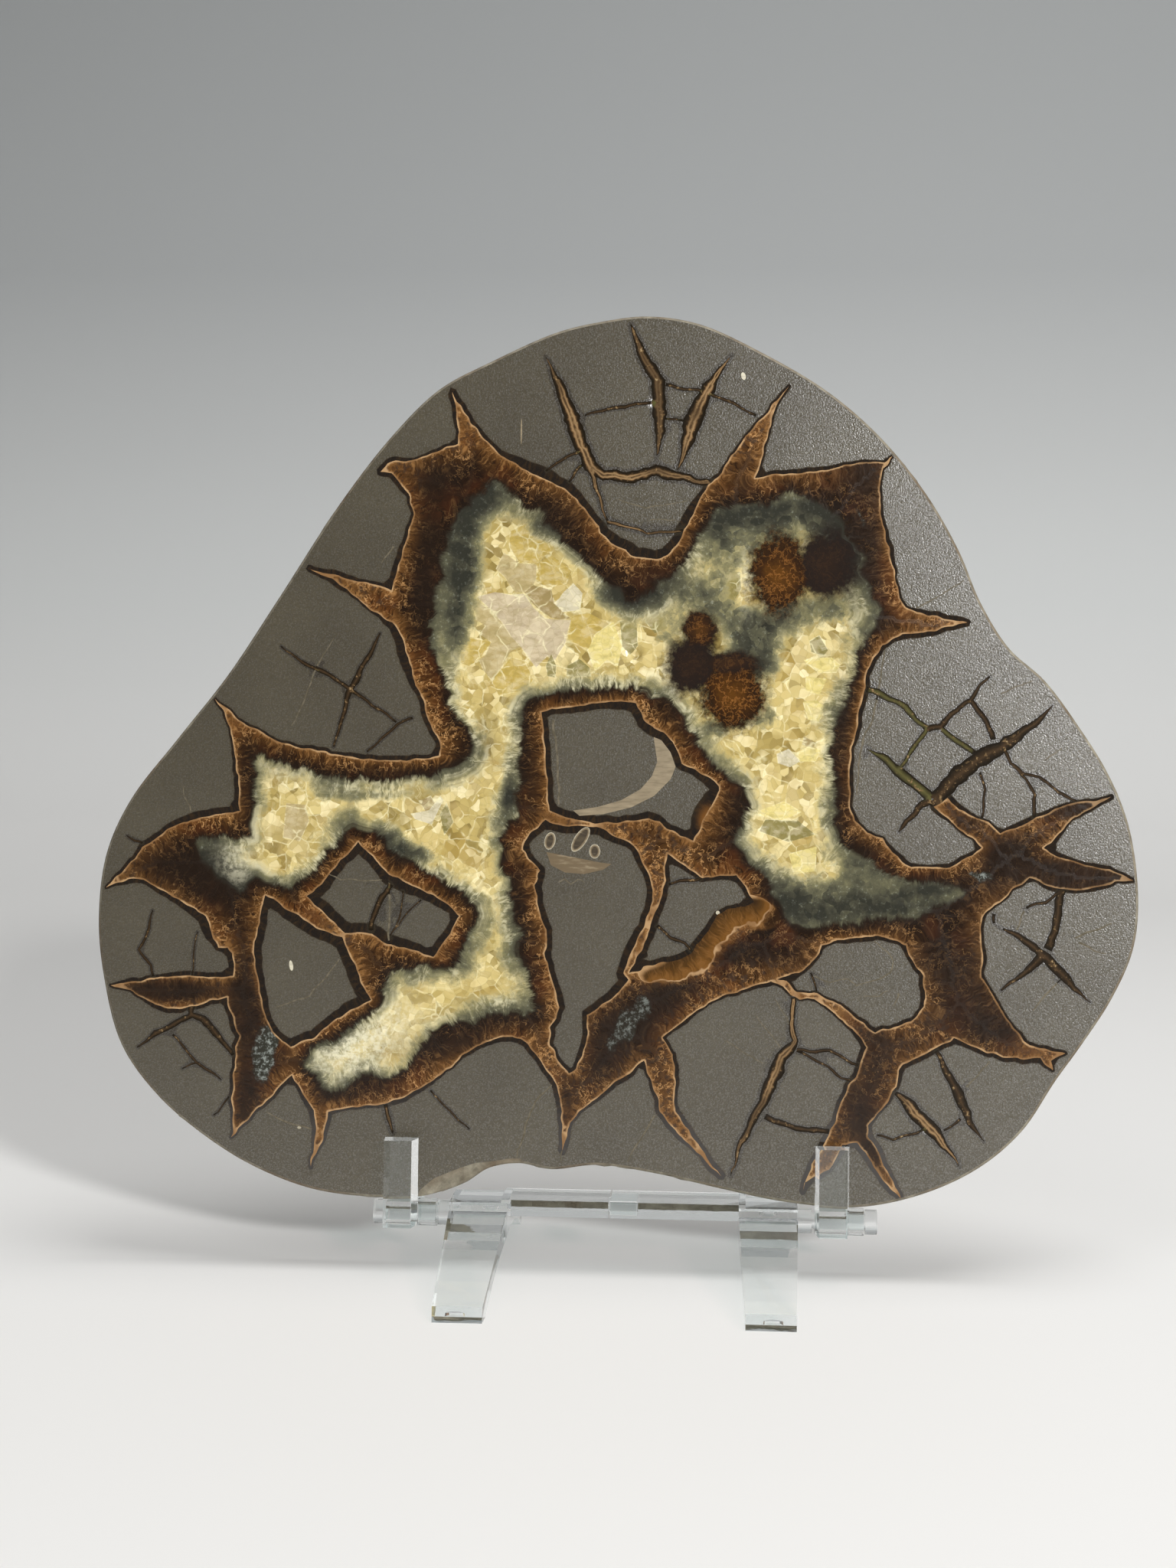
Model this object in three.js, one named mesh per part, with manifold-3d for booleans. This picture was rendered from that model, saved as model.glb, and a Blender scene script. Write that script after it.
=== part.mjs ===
// A polished slice of a septarian nodule, leaning a little back on a two-part stand of clear plastic.
// The slice's outlines are points on its polished face, [across, up] in millimetres: 0 across is the middle of
// the stand, and 0 up is the slice's lowest edge. The whole part is in millimetres, X across, Y away from the
// polished face and Z up. The origin is on the table, in the middle of the part's footprint.

import * as THREE from "three";
import { mergeVertices } from "three/addons/utils/BufferGeometryUtils.js";
import Module from "manifold-3d";

// Driving dimensions: the slice
const SLICE_THICKNESS = 7;
const SLICE_FRONT = -4; // the polished face, measured from the axle
const EDGE_BEVEL = 0.5;
const CRYSTAL_GAP = 0.2; // between the crystals and the stone around them
const VEIN_DEPTH = 0.35; // how far the thin veins lie below the polished face
const LEAN_BACK = THREE.MathUtils.degToRad(5);

// Driving dimensions: the stand
const AXLE_HEIGHT = 8.4;
const BAR_TOP = 11.5;
const BAR_BOTTOM = 9;
const BAR_DEPTH = 9;
const LEG_TOP = 11;
const LEG_INNER = 17.6; // from the middle of the stand
const LEG_OUTER = 26.5;
const FOOT_INNER = 18.6;
const FOOT_OUTER = 25.7;
const FOOT_REACH = 30.1; // from the axle to the tip of a foot
const FOOT_HEIGHT = 2.2;
const SHOULDER_RADIUS = 1.9;
const AXLE_RADIUS = 1.2;
const AXLE_START = 28.7;
const AXLE_END = 36.8;
const CAP_LENGTH = 1.8;
const RUNNING_CLEARANCE = 0.09; // radial, between an axle and its wing
const PLUG_LENGTH = 4;
const PLUG_CLEARANCE = 0.15;

// Driving dimensions: a wing
const WING_LENGTH = 7.1;
const LIP_WIDTH = 4.2;
const LIP_FLARE = 0.5; // how much wider the lip is at its back, on each side
const LIP_DEPTH = 4.6;
const LIP_TOP = 11.9; // above the axle
const SLOT_GAP = 0.3; // between the slice and the wing, at the floor, lip and arm
const SLICE_BOTTOM = 2.6; // above the axle
const ARM_TOP = 22;
const ARM_DEPTH = 2.6;
const COLLAR_RADIUS = 2.1;
const WING_STARTS = { wing_left: -36, wing_right: 29.5 };

const ROUND_SIDES = 32;

// The slice's rim, clockwise from the top. A smooth curve goes through the points.
const RIM = [
  [2, 136], [10, 134.8], [20, 130.2], [30, 124.2], [38, 117.2], [45, 108.5], [50, 99.8], [53.3, 92],
  [57.6, 85.1], [63, 80.2], [68, 73.5], [72.6, 66.1], [75.8, 58], [77.2, 47], [76.4, 39.5], [73.3, 32.2],
  [69, 25.4], [65, 19.7], [60, 12], [53.5, 6.3], [45, 2.2], [35.5, 0.1], [25, 0.6], [15, 2.4], [5, 4.5],
  [-4, 5.6], [-11, 4.8], [-16, 5.6], [-20.5, 4.8], [-24.5, 2.2], [-30, 0.4], [-38, 0], [-47.7, 1], [-57, 4.3],
  [-65, 9], [-72.3, 15], [-78, 22.6], [-81, 33], [-82, 42], [-81, 52], [-77.4, 60.4], [-70, 70.2],
  [-62.5, 79.9], [-55, 91.5], [-45, 107.3], [-37, 117.8], [-30, 124.7], [-22, 129], [-12, 133.5], [-5, 135.2],
];
const RIM_STEPS = 3; // sides for each span between two points of the rim

// The edge of the yellow calcite, clockwise from the top of the upper left lobe.
const CRYSTAL_EDGE = [
  [-21, 109.8], [-19.4, 108.4], [-17.2, 106.2], [-14.7, 105.5], [-13.3, 103.4], [-11.1, 100.9], [-7.6, 97.6],
  [-5.4, 95.5], [-3.3, 93.7], [-1.1, 91.6], [0.6, 91.2], [2.4, 92.3], [4.2, 94.1], [6.4, 95.5], [8.5, 97.3],
  [9.9, 99.4], [10.6, 101.2], [12.4, 103.7], [13.5, 105.9], [15.3, 106.2], [17.4, 105.9], [19.9, 106],
  [22.4, 106.9], [25, 107.8], [26.9, 106.9], [29, 105.9], [30.8, 105.1], [32.6, 101.9], [34, 100.5],
  [34.7, 98.7], [35.1, 95.9], [35.8, 93.4], [37.2, 90.5], [35.8, 88], [34.4, 84], [33.6, 81.9], [32.9, 79],
  [32.2, 76.1], [31.1, 73.3], [30.8, 69.7], [30.6, 66.1], [31, 60.4], [30.8, 57.9], [32.2, 55.4], [34.4, 53.6],
  [38.3, 50.8], [42.2, 48.8], [45.4, 48.6], [48.3, 48.8], [50.4, 47.9], [49, 46.5], [46.1, 46], [44, 44],
  [39.4, 44.5], [36.5, 44.4], [32.2, 43.3], [26.9, 42.6], [25.2, 43.4], [23.5, 46.3], [22.4, 48.7],
  [20.6, 51.1], [18.5, 52.9], [17.1, 54.7], [17.8, 56.9], [18.9, 61.9], [18.1, 64], [16, 65.4], [13.9, 67.2],
  [11.7, 69.4], [10.3, 71.9], [7.4, 76.1], [5.3, 77.2], [3.1, 78.6], [0.6, 79.4], [-5.1, 79.2], [-10.1, 78.3],
  [-14.9, 77.2], [-16.3, 76.1], [-17.2, 74], [-17, 68.3], [-17.6, 63.6], [-17.9, 61.1], [-17.4, 58.8],
  [-19.7, 56.5], [-20.3, 54.4], [-19.7, 51.9], [-18.4, 48], [-17.7, 43.9], [-16.6, 40.4], [-17, 37],
  [-15.8, 34.1], [-14.2, 28.8], [-15.4, 28.4], [-16.9, 29.1], [-19, 29], [-21.9, 28.2], [-25, 27.4],
  [-28.4, 26.6], [-30.6, 25.2], [-32, 22.7], [-33.8, 20.6], [-35.9, 19], [-39.1, 19.5], [-42, 18.1],
  [-44.9, 16.6], [-47, 17.7], [-48.5, 19.6], [-47.7, 22], [-44.9, 23.4], [-42.4, 24.9], [-38.8, 27],
  [-36.6, 29.1], [-36.1, 32.4], [-35.7, 34.2], [-28.7, 34.7], [-26.9, 35.2], [-25.4, 36.6], [-24.7, 38.8],
  [-23.3, 40.6], [-22.4, 42.7], [-22.9, 44.9], [-24.4, 46.6], [-26.3, 48.3], [-30.9, 50.6], [-32.7, 51.9],
  [-34.9, 52.9], [-37, 54.4], [-38.1, 56.1], [-39.5, 57.2], [-42, 57.4], [-44.1, 56.1], [-47, 52.9],
  [-50.2, 49.4], [-51.6, 47.6], [-53.4, 47.6], [-54.9, 48.6], [-57.4, 49.4], [-59.9, 46.9], [-62, 47.9],
  [-64.1, 49.7], [-66.6, 53.6], [-64.1, 54], [-60.6, 54.4], [-57.4, 54.7], [-57.2, 60.1], [-57.4, 66.5],
  [-56.3, 66.9], [-53.8, 65.8], [-50.9, 64.9], [-45.2, 63.6], [-39.1, 63.3], [-32.7, 64], [-28.4, 64.9],
  [-25.4, 66.1], [-23.6, 68.3], [-23.3, 70.4], [-24.4, 72.2], [-25.8, 73.6], [-27.2, 76], [-27.6, 78.3],
  [-28.4, 81.5], [-29.9, 84.4], [-30.9, 87.8], [-29.5, 93.4], [-28.1, 100.1], [-26, 105], [-23.6, 107.3],
];

// The veins that lie below the polished face, each a line of [across, up, width].
const VEINS = [
  [[-13.6, 129.6, 0], [-11, 124, 1.6], [-9.3, 120, 2.3], [-8, 116, 2.3], [-6.3, 112.7, 2], [-4.3, 111.4, 1.6],
    [0.2, 111.1, 1.7], [3.5, 111.9, 1.6], [6.5, 111.4, 1.5], [9.5, 110.4, 1.2], [11.4, 110.2, 0]],
  [[-0.5, 134.4, 0], [0.6, 131.6, 1.2], [2, 128.5, 1.9], [3.8, 125.8, 2.2], [3.9, 122.5, 2.2], [4.2, 118, 1.6],
    [3.7, 114.3, 0]],
  [[15.1, 129.8, 0], [12.3, 126, 1.4], [10.4, 122.5, 2.6], [9.3, 119.5, 2.6], [8.3, 116, 1.8], [6.9, 112.6, 0]],
  [[-7.3, 120.5, 0.3], [-4, 121.6, 0.7], [-0.4, 122.1, 0.7], [2.9, 122.5, 0.3]],
  [[5, 125.3, 0.3], [9.6, 124.4, 0.7], [12.4, 123.5, 0.7], [15.3, 122.6, 0.7], [18.9, 120.5, 0.2]],
  [[36.6, 78.3, 0.3], [39, 77.2, 1], [41.5, 76, 1.1], [43.3, 74.2, 1.1], [45.4, 72.6, 1], [47.2, 72.9, 0.9],
    [48.3, 74.7, 0.9], [50.1, 76.5, 0.9], [52, 77.6, 0.8], [53.3, 79.4, 0.6], [54.7, 80.6, 0]],
  [[45.2, 72.2, 0.6], [44, 70.4, 0.9], [42.6, 68.6, 0.7], [41.6, 67, 0.3]],
  [[36.3, 69.4, 0], [39, 67.9, 0.9], [41.5, 66, 1.2], [44, 64.2, 1.3], [46, 62.1, 1]],
  [[45.9, 61.8, 1], [44, 60.4, 1], [42.2, 58.6, 0.6], [41.1, 57, 0]],
  [[46.4, 62.2, 1.8], [48.6, 63.9, 2.4], [51.1, 66.1, 2.7], [53.6, 68.6, 2.4], [55.8, 70.4, 2], [58.3, 71.9, 1.6],
    [60.8, 73.6, 1.3], [63.6, 76.3, 0]],
  [[46.4, 62.2, 1.8], [49.7, 59.4, 3.2], [52.2, 57.6, 3.4], [54.2, 56.4, 3.2]],
  [[47.7, 72.3, 0.4], [49.7, 70.8, 0.8], [52, 69, 0.5]],
  [[52.2, 77, 0.4], [53.6, 74.7, 0.9], [55, 71.5, 0.6]],
  [[57, 69.7, 0.4], [57.9, 67.6, 0.8], [59.7, 65.4, 0.8], [61.1, 63.3, 0.7], [61.7, 60.4, 0.3]],
  [[58.3, 67.3, 0.3], [61.9, 65.4, 0.7], [65.1, 63.5, 0.6], [67.7, 62, 0.2]],
  [[65.6, 48, 0.5], [65.1, 45.6, 1], [65.3, 43.4, 1.1], [64, 40.9, 1.1], [63.5, 39.4, 1.1]],
  [[63.4, 38.9, 1.4], [65.1, 36.6, 1.3], [67.6, 34.1, 1], [69.9, 31.6, 0]],
  [[63.2, 38.9, 1.1], [61.5, 39.9, 0.9], [59, 41.5, 0.7], [56.9, 42.6, 0]],
  [[63, 38.4, 1.6], [61.1, 37.4, 1.4], [59.7, 35.6, 0.8], [57.9, 34.1, 0.6], [56.7, 33.3, 0]],
  [[47.2, 23.3, 0.2], [48.6, 20.9, 0.9], [49.7, 18.4, 1.4], [50.6, 16.3, 1.4], [51.5, 13.8, 1], [52.6, 12.2, 0.5],
    [54.4, 10.4, 0]],
  [[40.9, 17.6, 0.2], [42.9, 15.2, 1.6], [45.4, 13.1, 2], [47.2, 11.3, 1.7], [49, 9.1, 0.9], [50.4, 6.8, 0]],
  [[25.3, 31.3, 0.4], [25.3, 28.8, 0.8], [25.8, 25.9, 0.8], [24.6, 23.4, 1.2], [23.1, 20.9, 1.6], [22.1, 18.4, 1.8],
    [21, 15.6, 1.6], [20.3, 13.4, 1.3], [18.9, 11.6, 1], [17.8, 9.1, 0.7], [16.7, 6.4, 0]],
  [[-53.6, 84.2, 0], [-50.6, 82, 0.6], [-47.4, 80.4, 0.7], [-44.5, 78.6, 0.7], [-43.1, 77.9, 0.7], [-39.5, 75.4, 0]],
  [[-38.6, 86.9, 0], [-39.9, 83.6, 0.7], [-41.6, 80.8, 0.9], [-43.1, 77.9, 0.9], [-44.1, 75.1, 0.8],
    [-44.9, 71.9, 0.7], [-45.6, 69.2, 0]],
  [[-67.7, 27.6, 0.6], [-70.2, 26.3, 1], [-72.7, 24.5, 0.9], [-75.4, 22.4, 0]],
  [[-67.4, 27.5, 0.6], [-65.9, 27, 0.9], [-64.1, 24.9, 0.9], [-62, 22.7, 0.8], [-60.5, 20.8, 0.3]],
  [[-36.6, 47.6, 0.4], [-37.7, 44.8, 1], [-38.8, 41.8, 1.4]],
];

// A chip at the notch in the slice's lower edge: where it starts and ends on the face, and how deep it goes.
const CHIP_START = [-31.5, 0.9];
const CHIP_END = [-15.8, 6.9];
const CHIP_DEPTH = 2.4;

// A small pit in the yellow calcite, with a rim of crystal faces.
const PIT_EDGE = [
  [0.1, 84], [0.5, 84.6], [1.2, 84.9], [1.8, 84.3], [1.5, 83.5], [0.8, 83], [0.2, 83.3],
];
const PIT_DEPTH = 1.5;

const wasm = await Module();
wasm.setup();

function solidFrom(geometry) {
  const bare = geometry.clone();
  bare.deleteAttribute("normal");
  bare.deleteAttribute("uv");
  const merged = mergeVertices(bare, 1e-4);
  return new wasm.Manifold(
    new wasm.Mesh({
      numProp: 3,
      vertProperties: merged.attributes.position.array,
      triVerts: new Uint32Array(merged.index.array),
    }),
  );
}

function geometryFrom(solid) {
  const mesh = solid.getMesh();
  const geometry = new THREE.BufferGeometry();
  geometry.setAttribute("position", new THREE.BufferAttribute(mesh.vertProperties, 3));
  geometry.setIndex(new THREE.BufferAttribute(mesh.triVerts, 1));
  geometry.computeVertexNormals();
  return geometry;
}

const join = (...solids) => solids.reduce((whole, solid) => whole.add(solid));
const cut = (from, ...solids) => solids.reduce((rest, solid) => rest.subtract(solid), from);

// A box between two corners.
function box(low, high) {
  const size = high.map((value, axis) => value - low[axis]);
  const centre = high.map((value, axis) => (value + low[axis]) / 2);
  return solidFrom(new THREE.BoxGeometry(...size).translate(...centre));
}

// A cylinder along X about the axle, or about any line at [y, z].
function rod(from, to, radius, centre = [0, 0]) {
  const geometry = new THREE.CylinderGeometry(radius, radius, to - from, ROUND_SIDES);
  return solidFrom(geometry.rotateZ(Math.PI / 2).translate((from + to) / 2, ...centre));
}

const shapeOf = (points) => new THREE.Shape(points.map(([x, y]) => new THREE.Vector2(x, y)));

// A prism along X, whose section is a shape in [y, z].
function alongX(section, from, to) {
  const options = { depth: to - from, bevelEnabled: false, curveSegments: 10 };
  const geometry = new THREE.ExtrudeGeometry(section, options);
  const placed = new THREE.Matrix4().set(0, 0, 1, from, 1, 0, 0, 0, 0, 1, 0, 0, 0, 0, 0, 1);
  return solidFrom(geometry.applyMatrix4(placed));
}

// A prism along Z, whose plan is a shape in [x, y].
function alongZ(plan, from, to) {
  const geometry = new THREE.ExtrudeGeometry(plan, { depth: to - from, bevelEnabled: false });
  return solidFrom(geometry.translate(0, 0, from));
}

// A prism through the slice: its outline is [across, up] on the face, and it runs from one depth behind
// the polished face to another.
function throughSlice(outline, fromDepth, toDepth, bevel = 0) {
  const geometry = new THREE.ExtrudeGeometry(shapeOf(outline), {
    depth: toDepth - fromDepth - 2 * bevel,
    bevelEnabled: bevel > 0,
    bevelThickness: bevel,
    bevelSize: bevel,
    bevelOffset: -bevel,
    bevelSegments: 1,
  });
  return solidFrom(
    geometry
      .translate(0, 0, bevel - toDepth)
      .rotateX(Math.PI / 2)
      .translate(0, SLICE_FRONT, SLICE_BOTTOM),
  );
}

function smoothLoop(points, steps) {
  const curve = new THREE.CatmullRomCurve3(
    points.map(([across, up]) => new THREE.Vector3(across, up, 0)),
    true,
  );
  return curve
    .getPoints(points.length * steps)
    .slice(0, -1)
    .map(({ x, y }) => [x, y]);
}

// The outline moved inwards; it runs clockwise, so inwards is to its right.
function inset(outline, distance) {
  return outline.map(([x, y], i) => {
    const before = outline.at(i - 1);
    const after = outline[(i + 1) % outline.length];
    const along = new THREE.Vector2(after[0] - before[0], after[1] - before[1]).normalize();
    return [x + along.y * distance, y - along.x * distance];
  });
}

// The outline of a vein, from its middle line and its widths.
function veinOutline(line) {
  const left = [];
  const right = [];
  line.forEach(([x, y, width], i) => {
    const before = line[Math.max(i - 1, 0)];
    const after = line[Math.min(i + 1, line.length - 1)];
    const along = new THREE.Vector2(after[0] - before[0], after[1] - before[1]).normalize();
    const side = [(-along.y * width) / 2, (along.x * width) / 2];
    left.push([x + side[0], y + side[1]]);
    if (width > 0) right.unshift([x - side[0], y - side[1]]);
  });
  return [...left, ...right];
}

function chip() {
  const start = new THREE.Vector2(...CHIP_START);
  const along = new THREE.Vector2(...CHIP_END).sub(start);
  const section = shapeOf([[-0.2, 0.3], [-0.2, -3], [CHIP_DEPTH, -3], [CHIP_DEPTH, -2.3]]);
  const wedge = alongX(section, 0, along.length());
  return wedge
    .rotate([0, (-along.angle() * 180) / Math.PI, 0])
    .translate([start.x, SLICE_FRONT, SLICE_BOTTOM + start.y]);
}

function noduleSlice() {
  const whole = throughSlice(smoothLoop(RIM, RIM_STEPS), 0, SLICE_THICKNESS, EDGE_BEVEL);
  const window = throughSlice(CRYSTAL_EDGE, -1, SLICE_THICKNESS + 1);
  const veins = VEINS.map((line) => throughSlice(veinOutline(line), -1, VEIN_DEPTH));
  return cut(whole, window, chip(), join(...veins));
}

function calciteCrystals() {
  const filling = throughSlice(inset(CRYSTAL_EDGE, CRYSTAL_GAP), 0, SLICE_THICKNESS);
  return cut(filling, throughSlice(PIT_EDGE, -1, PIT_DEPTH));
}

// One wing, with its axle hole on the origin's X axis and its lip starting at x = 0.
function wing() {
  const lipFront = SLICE_FRONT - SLOT_GAP - LIP_DEPTH;
  const lipBack = SLICE_FRONT - SLOT_GAP;
  const armFront = SLICE_FRONT + SLICE_THICKNESS + SLOT_GAP;
  const armBack = armFront + ARM_DEPTH;
  const floorTop = SLICE_BOTTOM - SLOT_GAP;
  const underside = -1.2;
  const lipPlan = shapeOf([
    [0, lipFront],
    [LIP_WIDTH, lipFront],
    [LIP_WIDTH + LIP_FLARE, lipBack],
    [-LIP_FLARE, lipBack],
  ]);
  const lip = alongZ(lipPlan, underside, LIP_TOP);
  const floor = box([0, lipFront, underside], [LIP_WIDTH, armBack, floorTop]);
  const armSection = shapeOf([
    [armFront, underside],
    [armBack, underside],
    [armBack - 0.6, ARM_TOP - 0.5],
    [armBack - 1.1, ARM_TOP],
    [armFront, ARM_TOP],
  ]);
  const arm = alongX(armSection, 0, LIP_WIDTH);
  const collar = rod(0, WING_LENGTH, COLLAR_RADIUS);
  const bore = rod(-1, WING_LENGTH + 1, AXLE_RADIUS + RUNNING_CLEARANCE);
  return cut(join(lip, floor, arm, collar), bore);
}

// The side view of the arched legs, from the front foot to the rear foot.
function legSection() {
  const shape = new THREE.Shape();
  const edge = BAR_DEPTH / 2;
  const inside = FOOT_REACH - 3.2;
  shape.moveTo(-FOOT_REACH, 0);
  shape.lineTo(-inside, 0);
  shape.quadraticCurveTo(-12, 6.2, 0, 6.2);
  shape.quadraticCurveTo(12, 6.2, inside, 0);
  shape.lineTo(FOOT_REACH, 0);
  shape.lineTo(FOOT_REACH - 0.5, FOOT_HEIGHT);
  shape.lineTo(edge + 0.3, LEG_TOP - 1.2);
  shape.lineTo(edge, LEG_TOP - 0.3);
  shape.lineTo(edge - 0.3, LEG_TOP);
  shape.lineTo(-edge + 0.3, LEG_TOP);
  shape.lineTo(-edge, LEG_TOP - 0.3);
  shape.lineTo(-edge - 0.3, LEG_TOP - 1.2);
  shape.lineTo(-FOOT_REACH + 0.5, FOOT_HEIGHT);
  shape.closePath();
  return shape;
}

function legs() {
  const edge = BAR_DEPTH / 2 + 0.3;
  const plan = shapeOf([
    [FOOT_INNER, -FOOT_REACH - 1],
    [FOOT_OUTER, -FOOT_REACH - 1],
    [LEG_OUTER, -edge],
    [LEG_OUTER, edge],
    [FOOT_OUTER, FOOT_REACH + 1],
    [FOOT_INNER, FOOT_REACH + 1],
    [LEG_INNER, edge],
    [LEG_INNER, -edge],
  ]);
  const arch = alongX(legSection(), LEG_INNER - 1, LEG_OUTER + 1);
  return arch.intersect(alongZ(plan, -1, LEG_TOP + 1));
}

// The shallow oval that the mould leaves on the end of each foot.
function footMark(side) {
  const geometry = new THREE.CylinderGeometry(1.5, 1.5, 1, 20).rotateX(Math.PI / 2).scale(1, 1, 0.5);
  const middle = (FOOT_INNER + FOOT_OUTER) / 2 + 0.3;
  return solidFrom(geometry.translate(middle, side * (FOOT_REACH + 0.3), FOOT_HEIGHT / 2));
}

function barSection() {
  const edge = BAR_DEPTH / 2;
  const middle = (BAR_TOP + BAR_BOTTOM) / 2;
  return shapeOf([
    [-edge, middle],
    [-edge + 0.6, BAR_BOTTOM],
    [edge - 0.6, BAR_BOTTOM],
    [edge, middle],
    [edge - 0.6, BAR_TOP],
    [-edge + 0.6, BAR_TOP],
  ]);
}

// The plug's tongue, or with a clearance the socket that takes it.
function tongue(clearance) {
  const middle = (BAR_TOP + BAR_BOTTOM) / 2;
  const halfThickness = 0.55 + clearance;
  const halfWidth = 2.6 + clearance;
  return box(
    [-PLUG_LENGTH / 2 - 1, -halfWidth, middle - halfThickness],
    [PLUG_LENGTH / 2 + clearance, halfWidth, middle + halfThickness],
  );
}

// Half a stand on the side of +X, with its bar cut off at barStart.
function standSide(barStart) {
  const centre = [0, AXLE_HEIGHT];
  const bar = alongX(barSection(), barStart, LEG_INNER + 1);
  const shoulder = rod(LEG_OUTER - 1, AXLE_START, SHOULDER_RADIUS, centre);
  const axle = rod(AXLE_START - 1, AXLE_END + 1, AXLE_RADIUS, centre);
  const cap = rod(AXLE_END, AXLE_END + CAP_LENGTH, SHOULDER_RADIUS, centre);
  return cut(join(bar, legs(), shoulder, axle, cap), footMark(-1), footMark(1));
}

function standHalfRight() {
  return cut(standSide(-PLUG_LENGTH / 2), tongue(PLUG_CLEARANCE));
}

function standHalfLeft() {
  const plugSide = standSide(PLUG_LENGTH / 2 + 0.2).mirror([1, 0, 0]);
  return join(plugSide, tongue(0));
}

const mudstone = new THREE.MeshStandardMaterial({ color: 0x5e564a, roughness: 0.35, metalness: 0 });
const calcite = new THREE.MeshStandardMaterial({ color: 0xd9c884, roughness: 0.2, metalness: 0 });
const clearPlastic = () =>
  new THREE.MeshStandardMaterial({
    color: 0xf0f4f4,
    roughness: 0.05,
    metalness: 0,
    transparent: true,
    opacity: 0.35,
  });

function named(name, solid, material) {
  const mesh = new THREE.Mesh(geometryFrom(solid), material);
  mesh.name = name;
  return mesh;
}

const stand = new THREE.Group();
stand.add(named("stand_half_left", standHalfLeft(), clearPlastic()));
stand.add(named("stand_half_right", standHalfRight(), clearPlastic()));

// The wings and the slice swivel together about the axle.
const cradle = new THREE.Group();
cradle.position.z = AXLE_HEIGHT;
cradle.rotation.x = -LEAN_BACK;
for (const [name, start] of Object.entries(WING_STARTS)) {
  const mesh = named(name, wing(), clearPlastic());
  mesh.position.x = start;
  cradle.add(mesh);
}
cradle.add(named("nodule_slice", noduleSlice(), mudstone));
cradle.add(named("calcite_crystals", calciteCrystals(), calcite));

const part = new THREE.Group();
part.add(stand, cradle);
part.updateMatrixWorld(true);
const footprint = new THREE.Box3().setFromObject(part, true).getCenter(new THREE.Vector3());
part.position.set(-footprint.x, -footprint.y, 0);

export default part;
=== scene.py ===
# %% [markdown]
# # A slice of a septarian nodule on a clear stand
#
# A septarian nodule is a ball of hard mudstone that cracked while it was buried. Minerals then grew in the
# cracks: first a brown lining of fibrous calcite, and then yellow calcite crystals that filled the rest.
# This one was sawn into a slice and polished. It leans back a little on a moulded stand of clear plastic.
#
# The lesson starts with the packed model, whose places and sizes are fixed. Looks are built around it.

# %% Load the fixed frame
import math

import bpy
import numpy as np
from mathutils import Matrix, Vector, noise
from mathutils.geometry import delaunay_2d_cdt


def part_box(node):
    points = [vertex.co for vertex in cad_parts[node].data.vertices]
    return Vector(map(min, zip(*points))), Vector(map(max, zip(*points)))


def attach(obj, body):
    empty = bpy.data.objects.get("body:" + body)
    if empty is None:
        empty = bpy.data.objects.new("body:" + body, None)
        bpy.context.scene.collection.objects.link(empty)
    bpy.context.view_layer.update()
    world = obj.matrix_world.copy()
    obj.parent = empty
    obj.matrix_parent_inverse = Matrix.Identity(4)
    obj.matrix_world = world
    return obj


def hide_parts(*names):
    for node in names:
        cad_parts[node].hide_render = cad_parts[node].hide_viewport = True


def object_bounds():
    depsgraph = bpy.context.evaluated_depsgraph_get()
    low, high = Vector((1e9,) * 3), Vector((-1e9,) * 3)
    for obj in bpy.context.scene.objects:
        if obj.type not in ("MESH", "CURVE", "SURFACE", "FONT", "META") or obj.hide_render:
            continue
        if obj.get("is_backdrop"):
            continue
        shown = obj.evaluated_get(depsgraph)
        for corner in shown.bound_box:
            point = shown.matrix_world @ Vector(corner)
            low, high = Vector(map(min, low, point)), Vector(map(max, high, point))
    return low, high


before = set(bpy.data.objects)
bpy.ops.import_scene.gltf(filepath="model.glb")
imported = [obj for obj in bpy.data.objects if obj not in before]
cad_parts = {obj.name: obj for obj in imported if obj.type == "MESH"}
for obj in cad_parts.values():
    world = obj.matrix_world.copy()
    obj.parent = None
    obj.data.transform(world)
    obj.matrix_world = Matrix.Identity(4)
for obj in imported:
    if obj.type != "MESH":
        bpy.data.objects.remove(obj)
cad_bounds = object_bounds()
MM = 0.001
print("nodes:", ", ".join(sorted(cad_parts)))

# %% [markdown]
# ## The camera
#
# The lens looks almost level at the slice, from a little to the right of the stand's middle. The camera's
# own axes are written down, since they turn it more exactly than a target point would.

# %% Camera
def new_object(name, data):
    made = bpy.data.objects.new(name, data)
    bpy.context.scene.collection.objects.link(made)
    return made


camera_data = bpy.data.cameras.new("camera")
camera_data.sensor_fit = "VERTICAL"
camera_data.sensor_height = 36.0
camera_data.lens = 51.86
camera = new_object("camera", camera_data)
CAMERA_PLACE = Vector((0.01815, -0.343, 0.093))
CAMERA_RIGHT = Vector((0.99793, 0.06385, 0.00784))
CAMERA_UP = Vector((-0.01118, 0.05203, 0.99858))
CAMERA_BACK = Vector((0.06335, -0.99660, 0.05263))
turned = Matrix((CAMERA_RIGHT, CAMERA_UP, CAMERA_BACK)).transposed().to_4x4()
camera.matrix_world = Matrix.Translation(CAMERA_PLACE) @ turned
bpy.context.scene.camera = camera
print("camera stands", round(-CAMERA_PLACE.y / MM), "mm in front of the axle")

# %% [markdown]
# ## Where the slice stands
#
# Everything on the slice is drawn on its polished face, in millimetres: across from the middle of the
# stand, and up from the slice's lowest edge. One function carries such a point into the room, with the
# slice's lean.

# %% From the face to the room
THICKNESS = 7.0
FRONT = -4.0
BOTTOM = 2.6
AXLE_HEIGHT = 8.4
SIDE_SHIFT = 2.4
LEAN = math.radians(5)


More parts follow.
